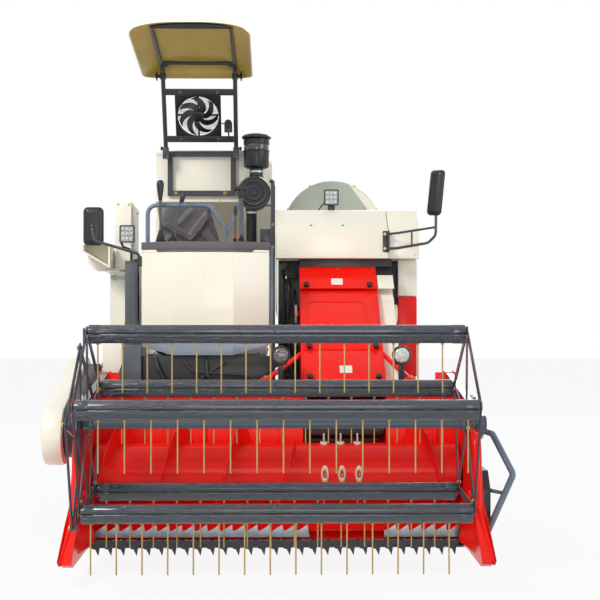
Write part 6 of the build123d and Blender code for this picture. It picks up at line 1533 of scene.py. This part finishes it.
turned(housing, ((0.046, 0.0), (0.070, 0.004), (0.080, 0.010), (0.084, 0.018), (0.085, 0.110), (0.088, 0.113),
                 (0.088, 0.122), (0.084, 0.125), (0.0, 0.125)), (*BOWL, 2.310), UP, 40)
turned(housing, ((0.0, 0.0), (0.080, 0.0), (0.088, 0.003), (0.098, 0.010), (0.099, 0.018), (0.088, 0.030),
                 (0.050, 0.040), (0.022, 0.044), (0.012, 0.046), (0, 0.046)), (*BOWL, 2.504), UP, 40)
turned(housing, ((0.0, 0.0), (0.086, 0.0), (0.087, 0.004), (0.086, 0.034), (0.0, 0.034)), (*BOWL, 2.470), UP,
       40)
skin("air_cleaner_housing", housing, black_moulding, "root", 0.0, "black_plastic", ("air_cleaner",), sharp=32)
# Smoked acrylic: glossy and nearly black, with a drift of chaff behind it.
smoke = moulded("smoked_acrylic_band", {"IOR": 1.49, "Coat Weight": 0.8},
                ("Noise", {"Scale": 25.0, "Detail": 3.0}), "#171B20", "#3B444D", (0.12, 0.25))
skin("pre_cleaner_band", turned(bmesh.new(), ((0.0835, 0.0), (0.0840, 0.002), (0.0840, 0.034), (0.0835, 0.036)),
    (*BOWL, 2.4345), UP, 40), smoke, "root", 0.0, sharp=50)
bands = bmesh.new()
for z, r in ((2.246, 0.0507), (2.290, 0.0472)):
    turned(bands, ((r - 0.001, -0.006), (r + 0.0012, -0.006), (r + 0.0012, 0.006), (r - 0.001, 0.006)),
           (*BOWL, z), UP, 32, closed=True)
for z in (2.020, HOSE_LOW):
    turned(bands, ((0.0365, -0.007), (0.0392, -0.007), (0.0392, 0.007), (0.0365, 0.007)), (*HOSE, z), UP, 32,
           closed=True)
turned(bands, ((0.1086, -0.008), (0.1099, -0.008), (0.1099, 0.008), (0.1086, 0.008)),
       (CLEANER.x, 0.235, CLEANER.z), REAR, 48, closed=True)
for a in (0.6, 2.5, 4.2):
    way = Vector((cos(a), 0, sin(a)))
    brick_at = Vector((CLEANER.x, 0.205, CLEANER.z)) + way * 0.104
    tube(bands, [brick_at, brick_at + Vector((0, 0.05, 0))], 0.0055, 8)
skin("air_cleaner_clamps", bands, bright_steel, "root", 0.0, sharp=40)
hose = bmesh.new()
ridges = [(r, RIDGE * i + up) for i in range(38)
          for r, up in ((0.0375, 0.001), (0.0375, 0.006), (0.0325, 0.008), (0.0325, 0.012))]
turned(hose, [(0.0, 0.0)] + ridges + [(0.0, RIDGE * 38)], (*HOSE, HOSE_LOW), UP, 24)
turned(hose, ((0.0, 0.0), (0.035, 0.0), (0.035, 0.055), (0.0, 0.055)), (*HOSE, 1.4505), UP, 24)
turned(hose, ((0.0, 0.0), (0.035, 0.0), (0.038, 0.03), (0.038, 0.060), (0.0, 0.060)), (*HOSE, 2.010), UP, 24)
skin("air_hose", hose, hose_black, "root", 0.0, sharp=45)
skin("air_cleaner_strut", slab(bmesh.new(), [(-0.262, 2.095), (-0.240, 2.085), (-0.330, 1.870),
    (-0.352, 1.878)], "y", 0.296, 0.300), blue_grey, "root", 0.001)
post = bmesh.new()
brick(post, (-0.0445, -0.0153), (0.166, 0.204), (0.7205, 2.185))
tube(post, bent([(-0.030, 0.185, 2.180), (-0.030, 0.185, 2.216), (-0.052, 0.185, 2.219)], 0.012), 0.0125, 12)
brick(post, (-0.115, -0.044), (0.170, 0.200), (1.800, 1.900))
brick(post, (-0.115, -0.044), (0.170, 0.200), (2.050, 2.062))
skin("air_cleaner_post", post, canopy_black, "root", 0.002)
heads("post_bolts", [((-0.030, 0.166, z), FRONT) for z in (1.78, 1.93)], "root", 0.014, 0.006, brass)

# ==================================================================== mirrors and square lamps
# Rear-view mirrors in black moulded shells on bent tube arms, and square flood lamps with nine bright
# diodes behind a flat lens, each on a swivel bracket.

# Silvered glass: nearly white and sharp, it shows the pale room.
mirror_glass = plated_steel("silvered_mirror_glass", "#DDE2E4", "#D3D9DC", 0.12)


def mirror(name, middle, way, up, width, height):
    """A rounded shell with a domed back that faces along way, and its glass on the other side."""
    way, up = Vector(way).normalized(), Vector(up).normalized()
    across = up.cross(way)
    shell = bmesh.new()
    rings = []
    for t, grow_by in ((-0.012, -0.004), (-0.011, 0.0), (0.0, 0.0), (0.010, -0.005), (0.017, -0.014),
                       (0.022, -0.026), (0.024, -0.040)):
        outline = rounded(width + 2 * grow_by, height + 2 * grow_by, max(0.028 + grow_by, 0.004), 6)
        rings.append([shell.verts.new(Vector(middle) + across * a + up * b + way * t) for a, b in outline])
    join_rings(shell, rings, capped=True)
    skin(f"{name}_shell", shell, black_moulding, "root", 0.0, "black_plastic", ("mirrors",), sharp=40)
    pane = bmesh.new()
    sheet_on(pane, Vector(middle) - way * 0.0122, across, up, rounded(width - 0.016, height - 0.016, 0.022, 6),
             0.0, 0.001)
    bmesh.ops.translate(pane, verts=pane.verts, vec=-way * 0.001)
    skin(f"{name}_glass", pane, mirror_glass, "root", 0.0)


mirror("right_mirror", (-1.080, -0.701, 1.855), (0.05, -1, 0.02), UP, 0.118, 0.226)
mirror("left_mirror", (0.983, -0.309, 2.095), (-0.75, -0.66, 0.0), (0.10, 0, 1), 0.108, 0.286)
arms = bmesh.new()
tube(arms, bent([(-1.083, -0.716, 1.850), (-1.083, -0.735, 1.835), (-1.070, -0.735, 1.768),
                 (-0.960, -0.660, 1.738), (-0.830, -0.590, 1.700), (-0.815, -0.575, 1.655)], 0.030, 6), 0.0088,
     12)
tube(arms, bent([(0.700, -0.112, 1.757), (0.755, -0.150, 1.757), (0.940, -0.270, 1.785), (0.985, -0.296, 1.830),
                 (0.988, -0.300, 2.130)], 0.05, 6), 0.0088, 12)
tube(arms, bent([(0.700, -0.112, 1.850), (0.755, -0.150, 1.853), (0.983, -0.290, 1.882)], 0.04, 6), 0.0078, 12)
tube(arms, [(0.845, -0.208, 1.771), (0.845, -0.206, 1.864)], 0.006, 10)
skin("mirror_arms", arms, arm_grey, "root", 0.0, sharp=50)
bracket = bmesh.new()
brick(bracket, (0.672, 0.712), (-0.108, -0.1003), (1.737, 1.870))
turned(bracket, ((0.010, 0.0), (0.010, 0.135)), (0.705, -0.112, 1.735), UP, 14)
brick(bracket, (-0.835, -0.8105), (-0.598, -0.560), (1.625, 1.685))
turned(bracket, ((0.014, 0.0), (0.014, 0.016), (0.0, 0.020)), (-1.083, -0.712, 1.850), FRONT, 16)
skin("mirror_brackets", bracket, sheet_black, "root", 0.002)
heads("mirror_bolts", [((0.684, -0.108, z), FRONT) for z in (1.757, 1.850)], "root", 0.013, 0.006)

# Clear pane over a reflector: pale grey under a hard gloss.
lamp_pane = enamel("clear_acrylic_over_reflector", "#A3AAAE", "#8A9297", "#C9CED0", 0.15, 0.9, 0.1)


def flood_lamp(name, middle, width, height):
    """A square lamp that faces forward: ribbed black body, rim, flat lens and nine diodes."""
    x, y, z = middle
    body, glass, diodes = bmesh.new(), bmesh.new(), bmesh.new()
    sheet_on(body, (x, y, z), LEFT, UP, rounded(width, height, 0.010), 0.0, 0.017)
    sheet_on(body, (x, y - 0.016, z), LEFT, UP, rounded(width, height, 0.010), 0.0, 0.004,
             rounded(width - 0.014, height - 0.014, 0.006))
    for i in range(5):
        fin = x - width / 2 + 0.014 + (width - 0.028) * i / 4
        brick(body, (fin - 0.0015, fin + 0.0015), (y - 0.001, y + 0.017),
              (z - height / 2 + 0.010, z + height / 2 - 0.010))
    sheet_on(glass, (x, y - 0.0165, z), LEFT, UP, rounded(width - 0.014, height - 0.014, 0.006), 0.0, 0.001)
    for i in (-1, 0, 1):
        for j in (-1, 0, 1):
            turned(diodes, ((0.011, 0.0), (0.010, 0.002), (0.004, 0.0032), (0.0, 0.0032)),
                   (x + i * width * 0.27, y - 0.0175, z + j * height * 0.27), FRONT, 14)
    skin(f"{name}_body", body, black_moulding, "root", 0.001, "black_plastic", ("work_lamps",))
    skin(f"{name}_lens", glass, lamp_pane, "root", 0.0)
    skin(f"{name}_diodes", diodes, lens, "root", 0.0, sharp=60)


flood_lamp("pillar_lamp", (-0.9285, -0.311, 1.835), 0.093, 0.108)
flood_lamp("hood_lamp", (0.3525, 0.120, 2.103), 0.096, 0.104)
lamp_mounts = bmesh.new()
tube(lamp_mounts, bent([(-0.925, -0.130, 1.660), (-0.925, -0.130, 1.745), (-0.968, -0.200, 1.762),
    (-0.974, -0.300, 1.800)], 0.03), 0.0075)
tube(lamp_mounts, [(-0.972, -0.302, 1.785), (-0.972, -0.302, 1.860)], 0.006)
tube(lamp_mounts, bent([(0.312, 0.130, 2.075), (0.285, 0.132, 2.045), (0.270, 0.125, 2.0215)], 0.02), 0.0045)
brick(lamp_mounts, (0.330, 0.375), (0.108, 0.134), (2.0205, 2.052))
skin("lamp_mounts", lamp_mounts, sheet_black, "root", 0.001)
